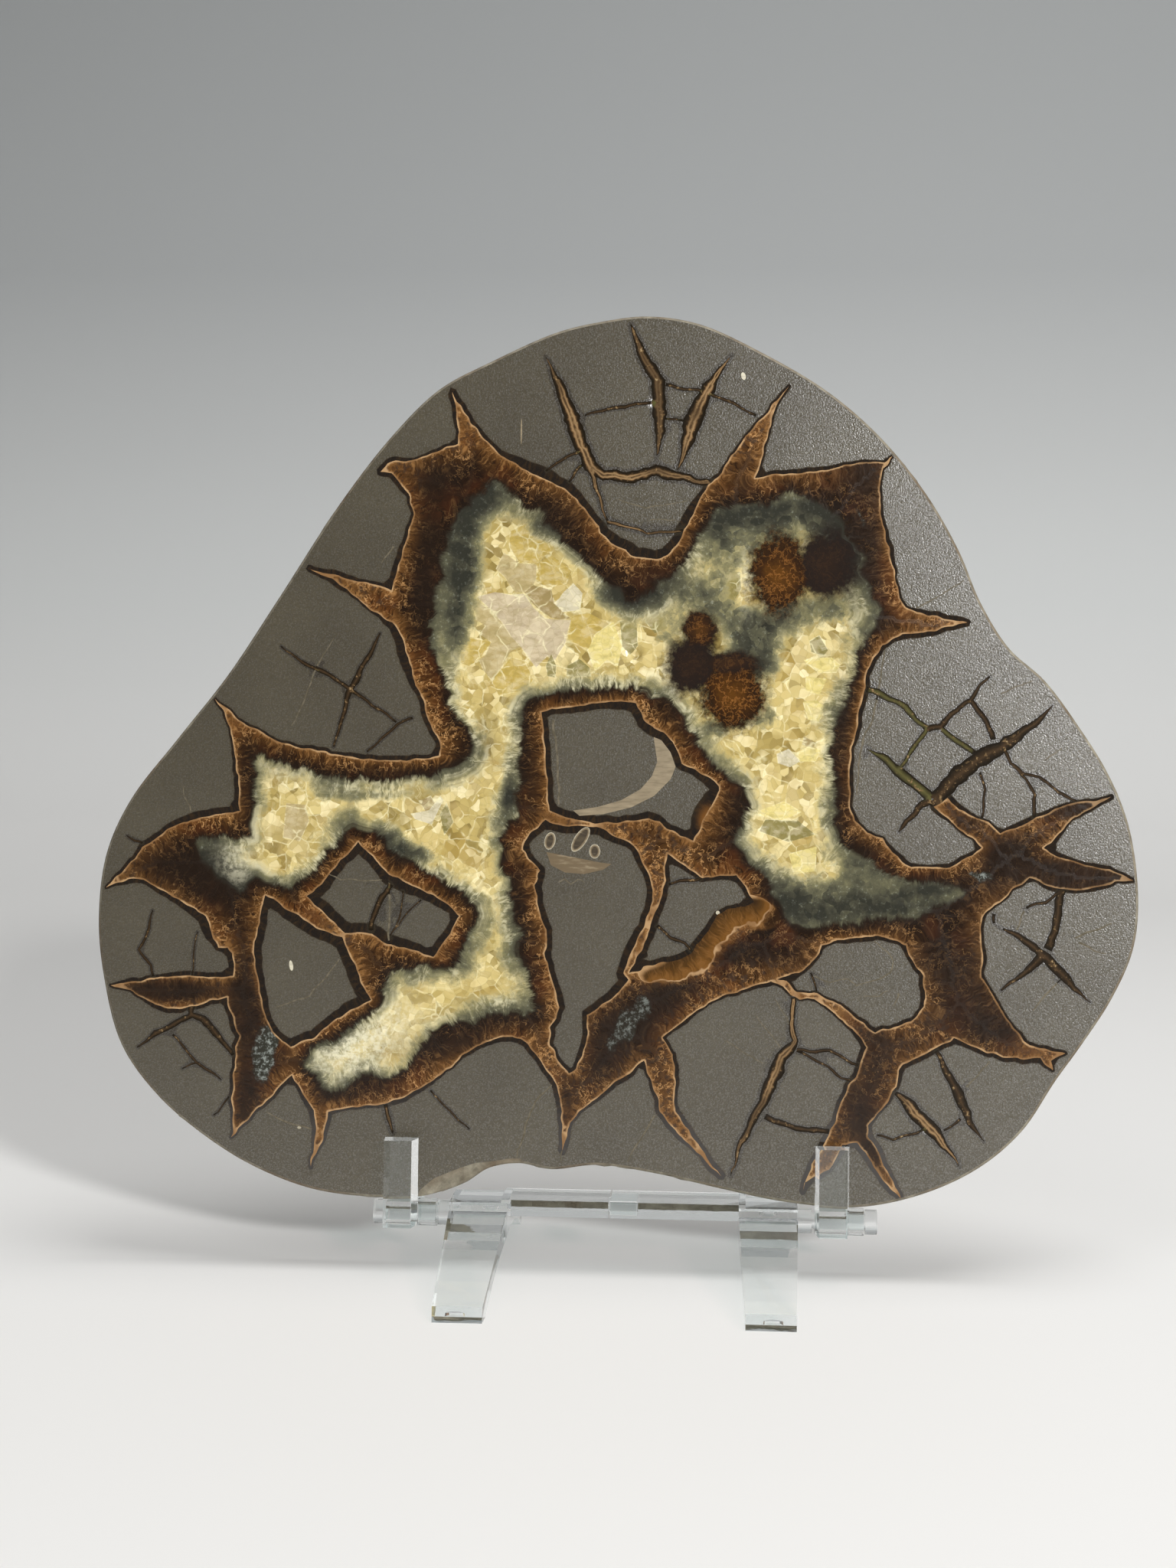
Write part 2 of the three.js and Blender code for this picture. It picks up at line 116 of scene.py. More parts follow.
def place(across, up, depth):
    """Points of the slice in the room, in metres; depth is measured behind the polished face."""
    y = FRONT + np.asarray(depth, float)
    z = BOTTOM + np.asarray(up, float)
    x = np.asarray(across, float) + SIDE_SHIFT
    back = y * math.cos(LEAN) + z * math.sin(LEAN)
    height = AXLE_HEIGHT - y * math.sin(LEAN) + z * math.cos(LEAN)
    return np.stack(np.broadcast_arrays(x, back, height), axis=-1) * MM


low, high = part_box("nodule_slice")
print("slice is", round((high.x - low.x) / MM, 1), "mm wide in the frame")


# %% [markdown]
# ## Outlines
#
# A natural outline can't be made from a formula, so each is written down as a walk: "across,up" of its
# first point, and then a step to each place where the line turns, all in tenths of a millimetre. Finer
# wobble is added by noise, as the stone has it at every scale.

# %% The rim and the wall of the cracks
def numbers(word):
    return [float(n) for n in word.split(",")]


def walk(rows):
    """The points of a walk, in millimetres. A third number isn't a step but a width, in hundredths."""
    rows = np.array(rows)
    return np.column_stack([rows[:, :2].cumsum(axis=0) / 10, rows[:, 2:] / 100])


def outline(text):
    return walk([numbers(word) for word in text.split()])


RIM = outline("""
20,1360 80,-12 100,-46 100,-60 80,-70 70,-87 50,-87 33,-78 43,-69 54,-49 50,-67 46,-74 32,-81 14,-110 -8,-75
-31,-73 -43,-68 -40,-57 -50,-77 -65,-57 -85,-41 -95,-21 -105,5 -100,18 -100,21 -90,11 -70,-8 -50,8 -45,-8
-40,-26 -55,-18 -80,-4 -97,10 -93,33 -80,47 -73,60 -57,76 -30,104 -10,90 10,100 36,84 74,98 75,97 75,116
100,158 80,105 70,69 80,43 100,45 70,17""")
WALL = outline("""
-280,1242 6,-16 13,-17 10,-15 15,-18 17,-17 18,-17 25,-16 29,-15 25,-10 21,-10 18,-18 18,-20 14,-18 4,-12
14,-14 25,-11 9,-11 23,-4 22,2 16,9 12,18 11,22 11,25 10,21 11,18 14,11 13,21 9,14 18,25 18,22 12,12 16,23
22,24 -15,-20 -10,-29 -8,-28 -5,-22 -4,-21 -7,-21 27,5 33,2 36,5 43,9 29,4 25,0 14,7 -14,-18 -4,-18 0,-29
4,-35 7,-29 7,-25 7,-32 7,-30 8,-13 17,-9 25,-5 29,-4 24,-4 -24,-6 -29,-8 -25,-4 -21,-1 -14,-9 -15,-9
-14,-18 -9,-20 -3,-18 -6,-28 -5,-29 -5,-29 -5,-28 -2,-29 0,-21 2,-28 6,-20 20,-19 21,-8 14,-18 15,-14 15,-9
30,0 30,0 14,7 18,11 15,13 -11,10 -22,14 -18,18 -21,18 18,14 18,-18 25,-10 21,-8 18,-17 5,3 27,9 22,14 28,13
29,9 25,2 28,7 -25,-15 -28,-17 -22,-22 -14,-16 -12,-9 26,-14 43,-11 29,-5 36,-16 -26,-2 -17,-7 -22,-6 -28,0
-22,3 -21,5 -18,7 -25,-18 -22,-20 -14,-12 -10,-11 0,-36 3,-27 -2,-25 13,-18 10,-18 11,-19 14,-20 15,-19
10,-9 27,-5 24,-4 -20,-12 2,-15 -18,18 -29,-2 -28,4 -22,5 -21,9 -18,9 -10,3 -15,-9 -14,-7 -25,-14 -22,-11
-7,-9 -4,-26 -5,-6 -9,-18 -14,-18 -14,-17 0,-15 14,-18 11,-25 14,-25 11,-25 -22,24 -18,23 -14,21 -13,15
-22,-4 -19,-36 -35,-21 -4,-14 14,42 22,40 3,7 9,21 9,25 11,25 9,15 9,25 9,19 -16,20 -18,14 -14,16 -18,11
-15,11 -21,-2 -14,7 -11,11 -19,9 -21,-6 -26,-9 -25,-9 -21,-10 -18,-13 -21,-16 -18,-14 -13,-11 14,-25 5,-28
-1,-29 2,-29 18,-25 18,-25 17,-25 18,-21 -45,41 -30,30 -19,25 -6,25 -10,25 -11,25 -18,-16 -21,-14 -22,-18
-18,-18 -21,-16 -11,-14 -11,-43 -1,22 0,28 -4,29 -5,21 -11,16 -14,20 -18,21 -14,13 -11,3 -29,-5 -25,-11
-21,-14 -22,-21 -21,-16 -23,-15 -25,-14 -28,-11 -25,-3 -25,-4 -25,-4 -13,-3 -2,-13 -5,-25 -9,-21 -11,-25
4,21 3,29 0,21 -3,15 -14,18 -11,19 -11,16 -11,-10 -14,-18 -18,-18 -18,-18 -21,-20 -9,-14 1,23 -1,25 0,46
3,19 2,28 4,14 -7,15 -4,14 -7,21 -3,11 -25,-7 -22,-9 -21,-2 -22,-1 -21,7 -18,9 -21,10 -32,9 21,2 25,5 32,6
36,3 35,0 33,-1 9,3 1,16 -3,18 -6,9 -16,-2 -7,14 -5,18 -7,16 -16,11 -22,11 -21,12 -22,11 -18,11 -25,1
-32,-13 25,26 15,16 14,22 21,12 18,13 22,12 25,9 25,4 25,4 16,1 -2,13 -2,25 -2,28 -5,25 -5,29 -6,18 -5,14
-16,23 19,-16 18,-14 22,-14 25,-13 25,-11 25,-7 28,-4 32,-7 29,-4 29,-3 35,0 29,3 21,1 15,5 2,11 -4,11 -9,18
-11,21 -7,25 -11,25 -7,25 -7,21 -5,18 -9,18 -9,12 -16,8 -22,14 -35,28 -22,16 -36,16 22,-6 25,-5 25,-7 28,-6
30,-8 3,17 7,25 9,29 7,25 4,21 -4,22 -9,21 -11,11 -11,9 -16,3 11,15 13,3 25,-1 21,8 21,9 29,9 2,20 -6,21
-3,25""")
print(len(RIM), "points on the rim,", len(WALL), "on the wall")

# %% [markdown]
# The yellow core has an edge of its own inside the wall. Between the two lies the brown lining.

# %% The edge of the yellow core
WINDOW = outline("""
-210,1098 16,-14 22,-22 25,-7 14,-21 22,-25 35,-33 22,-21 21,-18 22,-21 17,-4 18,11 18,18 22,14 21,18 14,21
7,18 18,25 11,22 18,3 21,-3 25,1 25,9 26,9 19,-9 21,-10 18,-8 18,-32 14,-14 7,-18 4,-28 7,-25 14,-29 -14,-25
-14,-40 -8,-21 -7,-29 -7,-29 -11,-28 -3,-36 -2,-36 4,-57 -2,-25 14,-25 22,-18 39,-28 39,-20 32,-2 29,2 21,-9
-14,-14 -29,-5 -21,-20 -46,5 -29,-1 -43,-11 -53,-7 -17,8 -17,29 -11,24 -18,24 -21,18 -14,18 7,22 11,50 -8,21
-21,14 -21,18 -22,22 -14,25 -29,42 -21,11 -22,14 -25,8 -57,-2 -50,-9 -48,-11 -14,-11 -9,-21 2,-57 -6,-47
-3,-25 5,-23 -23,-23 -6,-21 6,-25 13,-39 7,-41 11,-35 -4,-34 12,-29 16,-53 -12,-4 -15,7 -21,-1 -29,-8 -31,-8
-34,-8 -22,-14 -14,-25 -18,-21 -21,-16 -32,5 -29,-14 -29,-15 -21,11 -15,19 8,24 28,14 25,15 36,21 22,21 5,33
4,18 70,5 18,5 15,14 7,22 14,18 9,21 -5,22 -15,17 -19,17 -46,23 -18,13 -22,10 -21,15 -11,17 -14,11 -25,2
-21,-13 -29,-32 -32,-35 -14,-18 -18,0 -15,10 -25,8 -25,-25 -21,10 -21,18 -25,39 25,4 35,4 32,3 2,54 -2,64
11,4 25,-11 29,-9 57,-13 61,-3 64,7 43,9 30,12 18,22 3,21 -11,18 -14,14 -14,24 -4,23 -8,32 -15,29 -10,34
14,56 14,67 21,49 24,23""")
print(len(WINDOW), "points round the yellow core")

# %% [markdown]
# Six blocks of mudstone lie like islands in the cracks. Where there are many walks, each has a name in
# front.

# %% Islands of mudstone
def named_walks(text):
    """Reads "name x,y x,y ... name x,y ..." as pairs of a name and its points."""
    walks = []
    for word in text.split():
        if "," in word:
            walks[-1][1].append(numbers(word))
        else:
            walks.append((word, []))
    return [(name, walk(rows)) for name, rows in walks]


ISLANDS = [loop for _, loop in named_walks("""
A -417,544 18,-15 18,-21 15,-14 21,-9 25,-11 21,-11 27,-16 16,-16 -13,-20 -10,-17 -18,-26 -23,9 -21,5 -25,6
  -15,9 -10,7 -41,0 -13,9 -14,14 -18,16 -16,15 28,29 24,28
B -559,461 9,-5 26,-16 25,-16 22,-13 18,-7 21,-7 11,-23 11,-22 10,-25 15,-27 -18,-9 -18,-9 -18,-10 -18,-16
  -18,-15 -18,-7 -14,-5 -14,7 -14,14 -11,20 -7,21 -6,25 -3,25 -4,25 -2,22 6,21 3,25
C -135,745 16,6 29,3 32,6 25,3 25,0 18,-2 7,-10 5,-15 17,-14 14,-5 14,-16 9,-18 5,-14 22,-8 18,-12 18,-13
  1,-7 -12,-18 -11,-21 -7,-21 -9,-17 -20,8 -17,9 -15,10 -18,7 -17,-3 -25,-4 -29,-2 -21,2 -36,7 -23,9 -2,16
  -4,58 -7,57
D -158,549 11,12 14,13 7,7 15,-5 21,-4 43,0 14,-7 18,-9 18,-7 11,-13 10,-17 11,-22 4,-18 1,-18 -5,-16 -7,-18
  -14,-32 -11,-25 -7,-21 7,-11 -14,-18 -18,-14 -18,-15 -13,-7 2,-14 0,-25 -7,-21 -11,-22 -10,-7 -15,21
  -12,22 -2,25 9,14 4,18 -4,21 -5,22 -8,18 -5,21 4,22 -2,14 -9,18 -7,25 -4,25 9,23 -7,7 -12,11 -8,14
E 62,531 19,-12 22,-17 11,-7 21,4 32,2 14,-18 13,-24 -16,-5 -25,-5 -14,-8 -8,-14 -10,-18 -15,-14 -7,-13
  -10,-7 -18,-7 -22,-3 -21,-6 -4,-5 -19,-5 9,17 10,22 9,18 4,18 8,21 8,21 7,25 -2,20
F 297,397 28,7 33,5 25,2 25,-7 18,-5 3,-15 11,-18 11,-14 0,-18 3,-14 -2,-14 -12,-15 -7,-8 -22,-9 -21,-4
  -11,-5 -10,9 -22,14 -21,18 -22,10 -18,8 -25,1 -17,14 -14,4 31,11 18,12 15,18""")]
print(len(ISLANDS), "islands")

# %% [markdown]
# ## Veins
#
# Thin veins and cracks run from the big cracks towards the rim. Each is a walk along its middle, with its
# width at every point. The letter in front says what fills it: b is brown calcite with tan sides, d a dark
# crack, o an olive one, and p a pale hairline.

# %% Vein lines
VEINS = named_walks("""
b -136,1296,0 26,-56,160 17,-40,230 13,-40,230 17,-34,200 18,-13,160 47,-2,170 33,8,160 30,-5,160 30,-10,120
  25,-2,100
b -5,1346,20 11,-30,120 14,-31,190 18,-27,220 1,-33,220 3,-45,160 -5,-37,0
b 151,1298,0 -28,-38,140 -19,-35,260 -11,-30,260 -10,-35,180 -14,-40,0
d -74,1205,30 34,11,60 36,5,60 32,4,50
d 50,1253,50 46,-9,50 28,-9,50 29,-9,50 36,-21,40
d 49,1200,30 29,-3,40
d -79,1148,50 -21,-7,50 -33,-22,30
d -74,1130,50 -12,-13,50 -11,-15,30
b -79,1148,90 18,-32,90 8,-29,70 9,-27,40 7,-18,30
b -38,1039,50 30,-5,50 32,-11,40 29,1,50 27,4,40
p -22,1076,12 43,-14,20 64,11,12
p 28,1044,12 39,0,15
d -541,845,20 39,-26,60 39,-18,70 32,-22,60 25,-18,50 47,-32,30
d -386,867,20 -16,-34,70 -18,-36,100 -11,-18,100 -10,-35,70 -9,-33,50 -6,-21,30
d -334,736,40 -25,-10,40 -22,-22,40 -23,-21,30
p -459,858,12 -25,-43,18 -15,-46,18 -23,-47,12
p -368,1001,25 -18,-25,15
d -777,549,20 14,-9,40 11,-2,40
p -690,626,10 13,-40,20
d -668,274,100 -27,-15,100 -29,-14,80 -30,-23,20
d -670,290,90 0,-15,110 18,-7,110 21,-23,100 27,-32,60
d -699,243,40 22,-23,40 16,-20,40 20,-12,40 19,-13,20
d -661,200,30 -22,-9,20
d -734,434,20 -6,-28,40 -14,-32,40 20,-25,40 3,-17,40
d -663,402,15 -5,-32,25 -3,-36,20
d -609,149,30 -11,-15,30 -13,-14,20
p -550,127,15 26,-11,25 25,-9,25 18,-5,20
b -366,142,70 7,-22,60 5,-21,30
d -297,165,30 16,-20,30 21,-18,30 24,-20,20
p -111,177,25 -25,-28,25 -13,-29,25 -7,-36,25 -7,-18,15
p 47,134,25 -23,-39,25 -18,-33,15
p -94,77,20 -1,-15,15
b 255,317,80 -4,-40,90 9,-24,100 -21,-29,180 -15,-33,200 -14,-35,140 -18,-32,110 -14,-29,80 -7,-25,50
  -8,-25,10
d 214,136,90 21,-9,90 26,-9,90 50,-3,80
d 261,238,50 29,-4,50 21,2,50 43,-20,40
d 261,236,40 40,-20,40 28,-19,40 22,-9,30
d 470,239,50 16,-30,100 15,-25,160 10,-25,160 11,-28,90 22,-27,0
b 410,175,60 23,-19,180 21,-25,220 22,-22,180 14,-18,100 16,-25,0
d 508,138,40 -25,-18,30
d 451,120,40 -43,-16,40 -25,7,30
p 551,225,20 -34,-39,20
p 228,313,15 21,-36,15
p 199,288,15 36,-47,15
p 153,249,15 57,-33,15
d 642,765,0 -27,-29,120 -32,-25,180 -25,-14,220 -32,-18,260 -22,-21,260 -21,-22,240 -18,-17,200
o 363,695,0 27,-16,130 25,-21,160 25,-18,180 21,-20,160
d 463,619,200 27,-20,140
d 460,620,120 -20,-16,100 -21,-25,60 -8,-10,10
o 361,786,90 29,-10,90 29,-15,90 17,-21,90 18,-14,90
o 454,729,80 -18,-28,80 -21,-32,50
d 454,726,100 20,3,100 16,22,80 29,21,70 14,22,50 14,13,30
d 519,770,80 17,-23,80 17,-36,80
o 476,726,80 21,-18,80 29,-18,80
d 569,697,50 10,-21,50 18,-15,50 25,-7,50 29,-21,50 27,-14,50
d 583,672,50 18,-21,50 14,-22,50 0,-35,50
d 533,661,40 9,-25,40 -6,-44,40
p 435,910,20 34,19,20 37,24,20
p 563,781,20 48,20,15
p 631,681,20 25,18,15
p 388,845,20 -16,-98,25 -14,-36,25 -7,-42,25 -3,-44,20
d 658,486,120 -7,-37,120 -4,-29,120 -11,-25,120
d 569,425,30 28,-14,90 25,-18,130 14,-12,160 22,-22,140 18,-21,100 25,-22,0
d 634,388,150 -26,-22,110 -18,-17,70 -23,-17,30
p 656,350,25 -23,-23,25 -18,-25,15
d 656,484,50 -23,-18,50 -29,-9,40
p 601,452,30 -11,-28,20
p 731,436,15 -27,-12,25 -27,-11,25
p 683,406,25 21,-9,25 20,-7,15
d 556,447,60 0,-14,40
d -363,479,60 -14,-21,90 -11,-25,90 -5,-25,80
p -366,482,25 1,-89,25
d -345,469,20 -4,-40,30 -14,-28,20
d -316,456,20 -22,-20,25 -18,-25,20
p -459,493,15 18,-7,20 39,-1,20 25,1,15
p -538,288,15 50,19,20 39,45,20 8,11,15
p -116,735,35 6,-55,30 3,-40,30 1,-35,30
d 47,422,50 20,-18,50 22,-9,50 12,-12,30
d 64,485,40 25,7,50 25,4,30
p 376,404,12 21,-16,20 9,-14,20 -5,-18,20 -18,-11,20 -32,-9,20 -15,9,20 -25,-4,20 -25,8,12
p 361,320,12 22,0,20 14,9,12
p 406,306,15 8,19,30
d 281,354,30 9,-28,30
p -105,486,15 10,5,20 9,-7,20 10,6,20 11,-4,12""")
print(len(VEINS), "veins")

# %% [markdown]
# ## Fossils and flecks
#
# Pale shells and white flecks lie in the mudstone blocks. They were cut through by the saw, so they are
# flat shapes in the face: an outline each, or an oval with its middle, its half sizes and its turn. The
# first number is how pale it is.

# %% Fossil outlines
def oval(across, up, half_wide, half_high, turn=0.0, count=18):
    angle = np.linspace(0, 2 * math.pi, count, endpoint=False)
    x, y = half_wide * np.cos(angle), half_high * np.sin(angle)
    t = math.radians(turn)
    return np.stack([across + x * math.cos(t) - y * math.sin(t), up + x * math.sin(t) + y * math.cos(t)], 1)


SHELLS = named_walks("""
0.75 -84,596 10,-8 36,3 43,11 35,18 25,26 7,19 -8,22 -14,18 -12,5 2,-13 4,-25 -8,-22 -17,-20 -29,-17 -36,-11
0.45 -124,532 22,-4 28,-5 33,-6 17,-2 -13,-9 -29,-7 -29,2 -22,11""")
OVALS = (
    (0.95, -11.9, 54.9, 0.85, 1.35, -12),
    (0.35, -11.9, 54.9, 0.45, 0.95, -12),
    (0.95, -7.2, 55.2, 0.95, 2.2, -33),
    (0.35, -7.2, 55.2, 0.55, 1.75, -33),
    (0.95, -5.0, 53.4, 0.85, 1.1),
    (0.35, -5.0, 53.4, 0.45, 0.7),
    (1.0, -51.6, 35.2, 0.3, 0.8, 10),
    (1.0, 16.9, 126.6, 0.35, 0.6, 15),
    (0.9, 13.9, 44.3, 0.3, 0.3),
    (0.9, -49.9, 10.4, 0.3, 0.2),
    (0.8, -48.6, 101.4, 0.2, 0.3),
    (0.7, -17.2, 118, 0.12, 2.0),
)
FOSSILS = [(float(tone), loop) for tone, loop in SHELLS] + [(tone, oval(*sizes)) for tone, *sizes in OVALS]
print(len(FOSSILS), "fossils and flecks")

# %% [markdown]
# ## Single crystals
#
# Most of the core is fine-grained, but some crystals are as big as a fingernail. Each of those has an
# outline and a number for its tint: 1 pinkish cream, 2 tan, 3 gold, 4 bright yellow, 5 olive, 6 milky
# white, 7 beige.

# %% Crystal outlines
CRYSTALS = named_walks("""
1 -237,924 28,7 25,-4 20,2 14,-21 19,-17 21,-2 19,0 -6,-21 -2,-14 -16,-27 -12,6 -17,-18 -12,15 -12,17 -15,15
  -15,23 -17,18
7 -240,918 25,-15 17,-18 15,-23 15,-15 -15,-6 -13,-24 -16,-23 -13,16 -7,15 18,29 -18,12 9,13 -15,9
2 -164,931 14,11 28,-7 4,-17 14,-17 12,-10 -15,-2 -15,3 -18,12 -12,11
7 -208,967 12,25 23,-16 27,-2 4,-14 -8,-17 -14,-12 -14,0 -11,14 -4,8
6 -110,921 7,11 15,13 14,-15 -4,-26 -26,-3 -14,14
3 -91,894 25,7 22,-12 18,-2 -28,-20 -11,-25 -18,10 -14,5 4,20
4 -54,867 28,20 14,-39 -7,-32 -16,12 -18,-18 -12,32
5 -16,888 25,3 3,-41 -12,-14 -12,12
3 -212,794 29,37 21,-6 14,-28 -9,-16 -25,-5 -19,-4
3 -263,841 13,19 36,-6 -10,-22 -24,-16 -13,5
3 -187,1025 28,14 24,-17 12,-27 -23,-19 -27,1 -15,24
3 -145,974 22,15 31,-23 -7,-21 -29,-7 -18,13
5 -126,802 -3,16 8,18 8,-18 -1,-18
5 -97,802 1,16 19,11 15,-13 3,-14
4 265,830 18,3 25,1 13,-11 -6,-12 -26,0 -11,7
5 110,958 26,9 31,-3 2,-26 -13,-24 -18,-7 -8,22
5 82,933 22,10 24,-14 7,-22 -19,-6 -20,13
4 265,766 20,3 16,-12 -12,-22 -16,4
2 267,713 19,-9 -7,-10 -15,7
5 274,859 15,9 13,-23 -7,-9 -18,6
4 256,688 17,10 20,-5 -8,-18 -23,0
6 226,686 18,8 18,-19 -16,-9 -18,6
5 25,902 28,3 4,-28 -19,-8 -15,18
4 269,805 32,-4 -11,-24 -21,6
7 -528,602 30,-2 6,-25 -14,-31 -26,5
5 -289,588 10,18 11,-30 -14,-20
2 -322,608 18,8 11,-18 -15,-11
6 -334,588 28,6 17,22 5,-6 -18,-38 -26,8
4 190,595 45,-11 29,14 -26,16
5 200,568 45,-16 41,12 -26,20 -50,2
4 246,534 42,12 -2,-38 -32,-4""")
print(len(CRYSTALS), "single crystals")


# %% [markdown]
# ## From outlines to a sheet of triangles
#
# Each mineral should meet its neighbour along a sharp line, so the outlines are laid into one flat sheet of
# triangles, and a triangle never crosses a line. Constrained Delaunay triangulation does this. First come
# the small tools: a smooth curve through points, even steps along a line, and a natural wobble.

# %% Line tools
def smooth(loop, steps):
    """A closed centripetal Catmull-Rom curve through the points."""
    out = []
    n = len(loop)
    for i in range(n):
        p = [loop[(i + k) % n] for k in (-1, 0, 1, 2)]
        gap = [max(np.linalg.norm(p[k + 1] - p[k]) ** 0.5, 1e-6) for k in range(3)]
        start = (p[1] - p[0]) / gap[0] - (p[2] - p[0]) / (gap[0] + gap[1]) + (p[2] - p[1]) / gap[1]
        end = (p[2] - p[1]) / gap[1] - (p[3] - p[1]) / (gap[1] + gap[2]) + (p[3] - p[2]) / gap[2]
        start, end = start * gap[1], end * gap[1]
        squared = -3 * p[1] + 3 * p[2] - 2 * start - end
        cubed = 2 * p[1] - 2 * p[2] + start + end
        out += [p[1] + start * t + squared * t**2 + cubed * t**3 for t in np.arange(steps) / steps]
    return np.array(out)


def stepped(line, step, closed=True):
    """The same line with a point at least every step."""
    out = []
    ends = np.roll(line, -1, axis=0) if closed else line[1:]
    for a, b in zip(line, ends):
        count = max(1, math.ceil(np.linalg.norm(b - a) / step))
        out += [a + (b - a) * k / count for k in range(count)]
    if not closed:
        out.append(line[-1])
    return np.array(out)


OTHER_NOISE = Vector((31.7, 4.3, 9.1))


def wobble(line, size, scale, seed):
    """Moves each point by smooth noise: size in millimetres, scale in bumps per millimetre."""
    out = line.copy()
    for row in out:
        here = Vector((row[0] * scale, row[1] * scale, seed))
        row[0] += size * noise.noise(here)
        row[1] += size * noise.noise(here + OTHER_NOISE)
    return out


rim = smooth(RIM, steps=8)
print(len(rim), "points on the smooth rim")


# %% [markdown]
# Two questions come back all the time: which dots lie inside an outline, and how far is a dot from a line.

# %% Inside and distance
def inside(dots, loop):
    """Which of the dots lie inside the closed outline."""
    x, y = dots[:, 0], dots[:, 1]
    hit = np.zeros(len(dots), bool)
    for (x0, y0), (x1, y1) in zip(loop, np.roll(loop, -1, axis=0)):
        if y0 != y1:
            hit ^= ((y0 > y) != (y1 > y)) & (x < (x1 - x0) * (y - y0) / (y1 - y0) + x0)
    return hit


def nearest(dots, lines, closed=True):
    """Distance from each dot to the nearest line, and how far along all the lines the nearest place is."""
    best = np.full(len(dots), 1e9)
    along = np.zeros(len(dots))
    run = 0.0
    for line in lines:
        ends = np.roll(line, -1, axis=0) if closed else line[1:]
        for a, b in zip(line, ends):
            d = b - a
            length = float(np.hypot(*d))
            if length < 1e-9:
                continue
            t = np.clip(((dots - a) @ d) / length**2, 0, 1)
            gap = np.hypot(dots[:, 0] - a[0] - t * d[0], dots[:, 1] - a[1] - t * d[1])
            closer = gap < best
            best[closer] = gap[closer]
            along[closer] = run + t[closer] * length
            run += length
    return best, along


print(
    "the first island comes within", round(float(nearest(ISLANDS[0], [WALL])[0].min()), 1), "mm of the wall")

# %% [markdown]
# A vein is a middle line with widths. Its sides are found by stepping out to the left and right, and the
# half width at any dot is carried along, so that a shader can tell the middle of a vein from its sides.

# %% Vein outlines
VEIN_TONES = {"b": 0.62, "d": 0.12, "o": 0.3, "p": 1.0}
THINNEST = 0.08


def vein_sides(line):
    """The middle line of a vein with half widths, and its closed outline."""
    steps = stepped(line, 1.0, closed=False)
    centre = wobble(steps[:, :2], size=0.35, scale=0.45, seed=2.2)
    centre[0], centre[-1] = steps[0, :2], steps[-1, :2]
    along = np.gradient(centre, axis=0)
    along /= np.maximum(np.linalg.norm(along, axis=1)[:, None], 1e-9)
    side = np.stack([-along[:, 1], along[:, 0]], 1)
    half = np.maximum(steps[:, 2:3], THINNEST) / 2
    for (x, y), row in zip(centre, half):
        row[0] *= 1 + 0.35 * noise.noise(Vector((x * 0.9, y * 0.9, 7.7)))
    outline = np.concatenate([centre + side * half, (centre - side * half)[::-1]])
    return np.column_stack([centre, half]), outline


veins = [(kind, *vein_sides(line)) for kind, line in VEINS]
vein_loops = [outline for _, _, outline in veins]
print(sum(len(loop) for loop in vein_loops), "points on the veins' sides")

# %% [markdown]
# ## The lines of the sheet
#
# The chip is a flake that broke off at the bottom. The face of the slice ends a little inside its rim,
# because the sawn edge is slightly rounded.

# %% Lines
CHIP = outline("""
-315,-4 3,16 22,19 21,9 22,9 21,7 25,3 29,5 14,0 8,-6 4,-8 -14,-4 -45,-8 -40,-26 -35,-14""")
BEVEL = 0.45
STEP = 0.5


def right_of(loop):
    """The direction to the right of an outline at each of its points: inwards, if it runs clockwise."""
    along = np.roll(loop, -1, axis=0) - np.roll(loop, 1, axis=0)
    along /= np.linalg.norm(along, axis=1)[:, None]
    return np.stack([along[:, 1], -along[:, 0]], 1)


rim_face = rim + BEVEL * right_of(rim)
wall = wobble(stepped(WALL, STEP), size=0.3, scale=0.7, seed=0.5)
window = wobble(stepped(WINDOW, STEP), size=0.9, scale=0.55, seed=1.5)
islands = [wobble(stepped(loop, STEP), size=0.3, scale=0.7, seed=3.5) for loop in ISLANDS]
fossils = [(tone, stepped(loop, STEP)) for tone, loop in FOSSILS]
crystals = [(int(tint), stepped(loop, 0.7)) for tint, loop in CRYSTALS]
chip = stepped(CHIP, STEP)
closed_lines = [rim_face, wall, window, *islands, *vein_loops, chip]
closed_lines += [loop for _, loop in fossils + crystals]
print(len(closed_lines), "closed lines")

# %% [markdown]
# The dots between the lines are close together in the cracks, where there is a lot to see, and further
# apart in plain mudstone. Dots too near a line would make slivers, so they are left out.

# %% Dots
FINE, PLAIN = 0.62, 1.25
FINE_GAP, PLAIN_GAP = 0.33, 0.55
ROW_HEIGHT = 0.866
LEFT, RIGHT, LOWEST, HIGHEST = -84, 80, -2, 138


def hexagon_dots(spacing, phase=0.0):
    out = []
    for k, up in enumerate(np.arange(LOWEST + phase, HIGHEST, spacing * ROW_HEIGHT)):
        across = np.arange(LEFT + phase + (k % 2) * spacing / 2, RIGHT, spacing)
        out.append(np.stack([across, np.full(len(across), up)], 1))
    return np.concatenate(out)


def in_cracks(dots):
    """Which dots lie in the cracks: within the wall, and in no island."""
    hit = inside(dots, wall)
    for loop in islands:
        hit &= ~inside(dots, loop)
    return hit


def clear_of(dots, lines, gap):
    """Only the dots that lie further than gap from every point of the lines."""
    cells = {}
    for x, y in np.concatenate(lines):
        cells.setdefault((int(x // gap), int(y // gap)), []).append((x, y))
    keep = []
    for x, y in dots:
        i, j = int(x // gap), int(y // gap)
        near = [q for a in (i - 1, i, i + 1) for b in (j - 1, j, j + 1) for q in cells.get((a, b), ())]
        keep.append(all((x - qx) ** 2 + (y - qy) ** 2 > gap * gap for qx, qy in near))
    return dots[np.array(keep)]


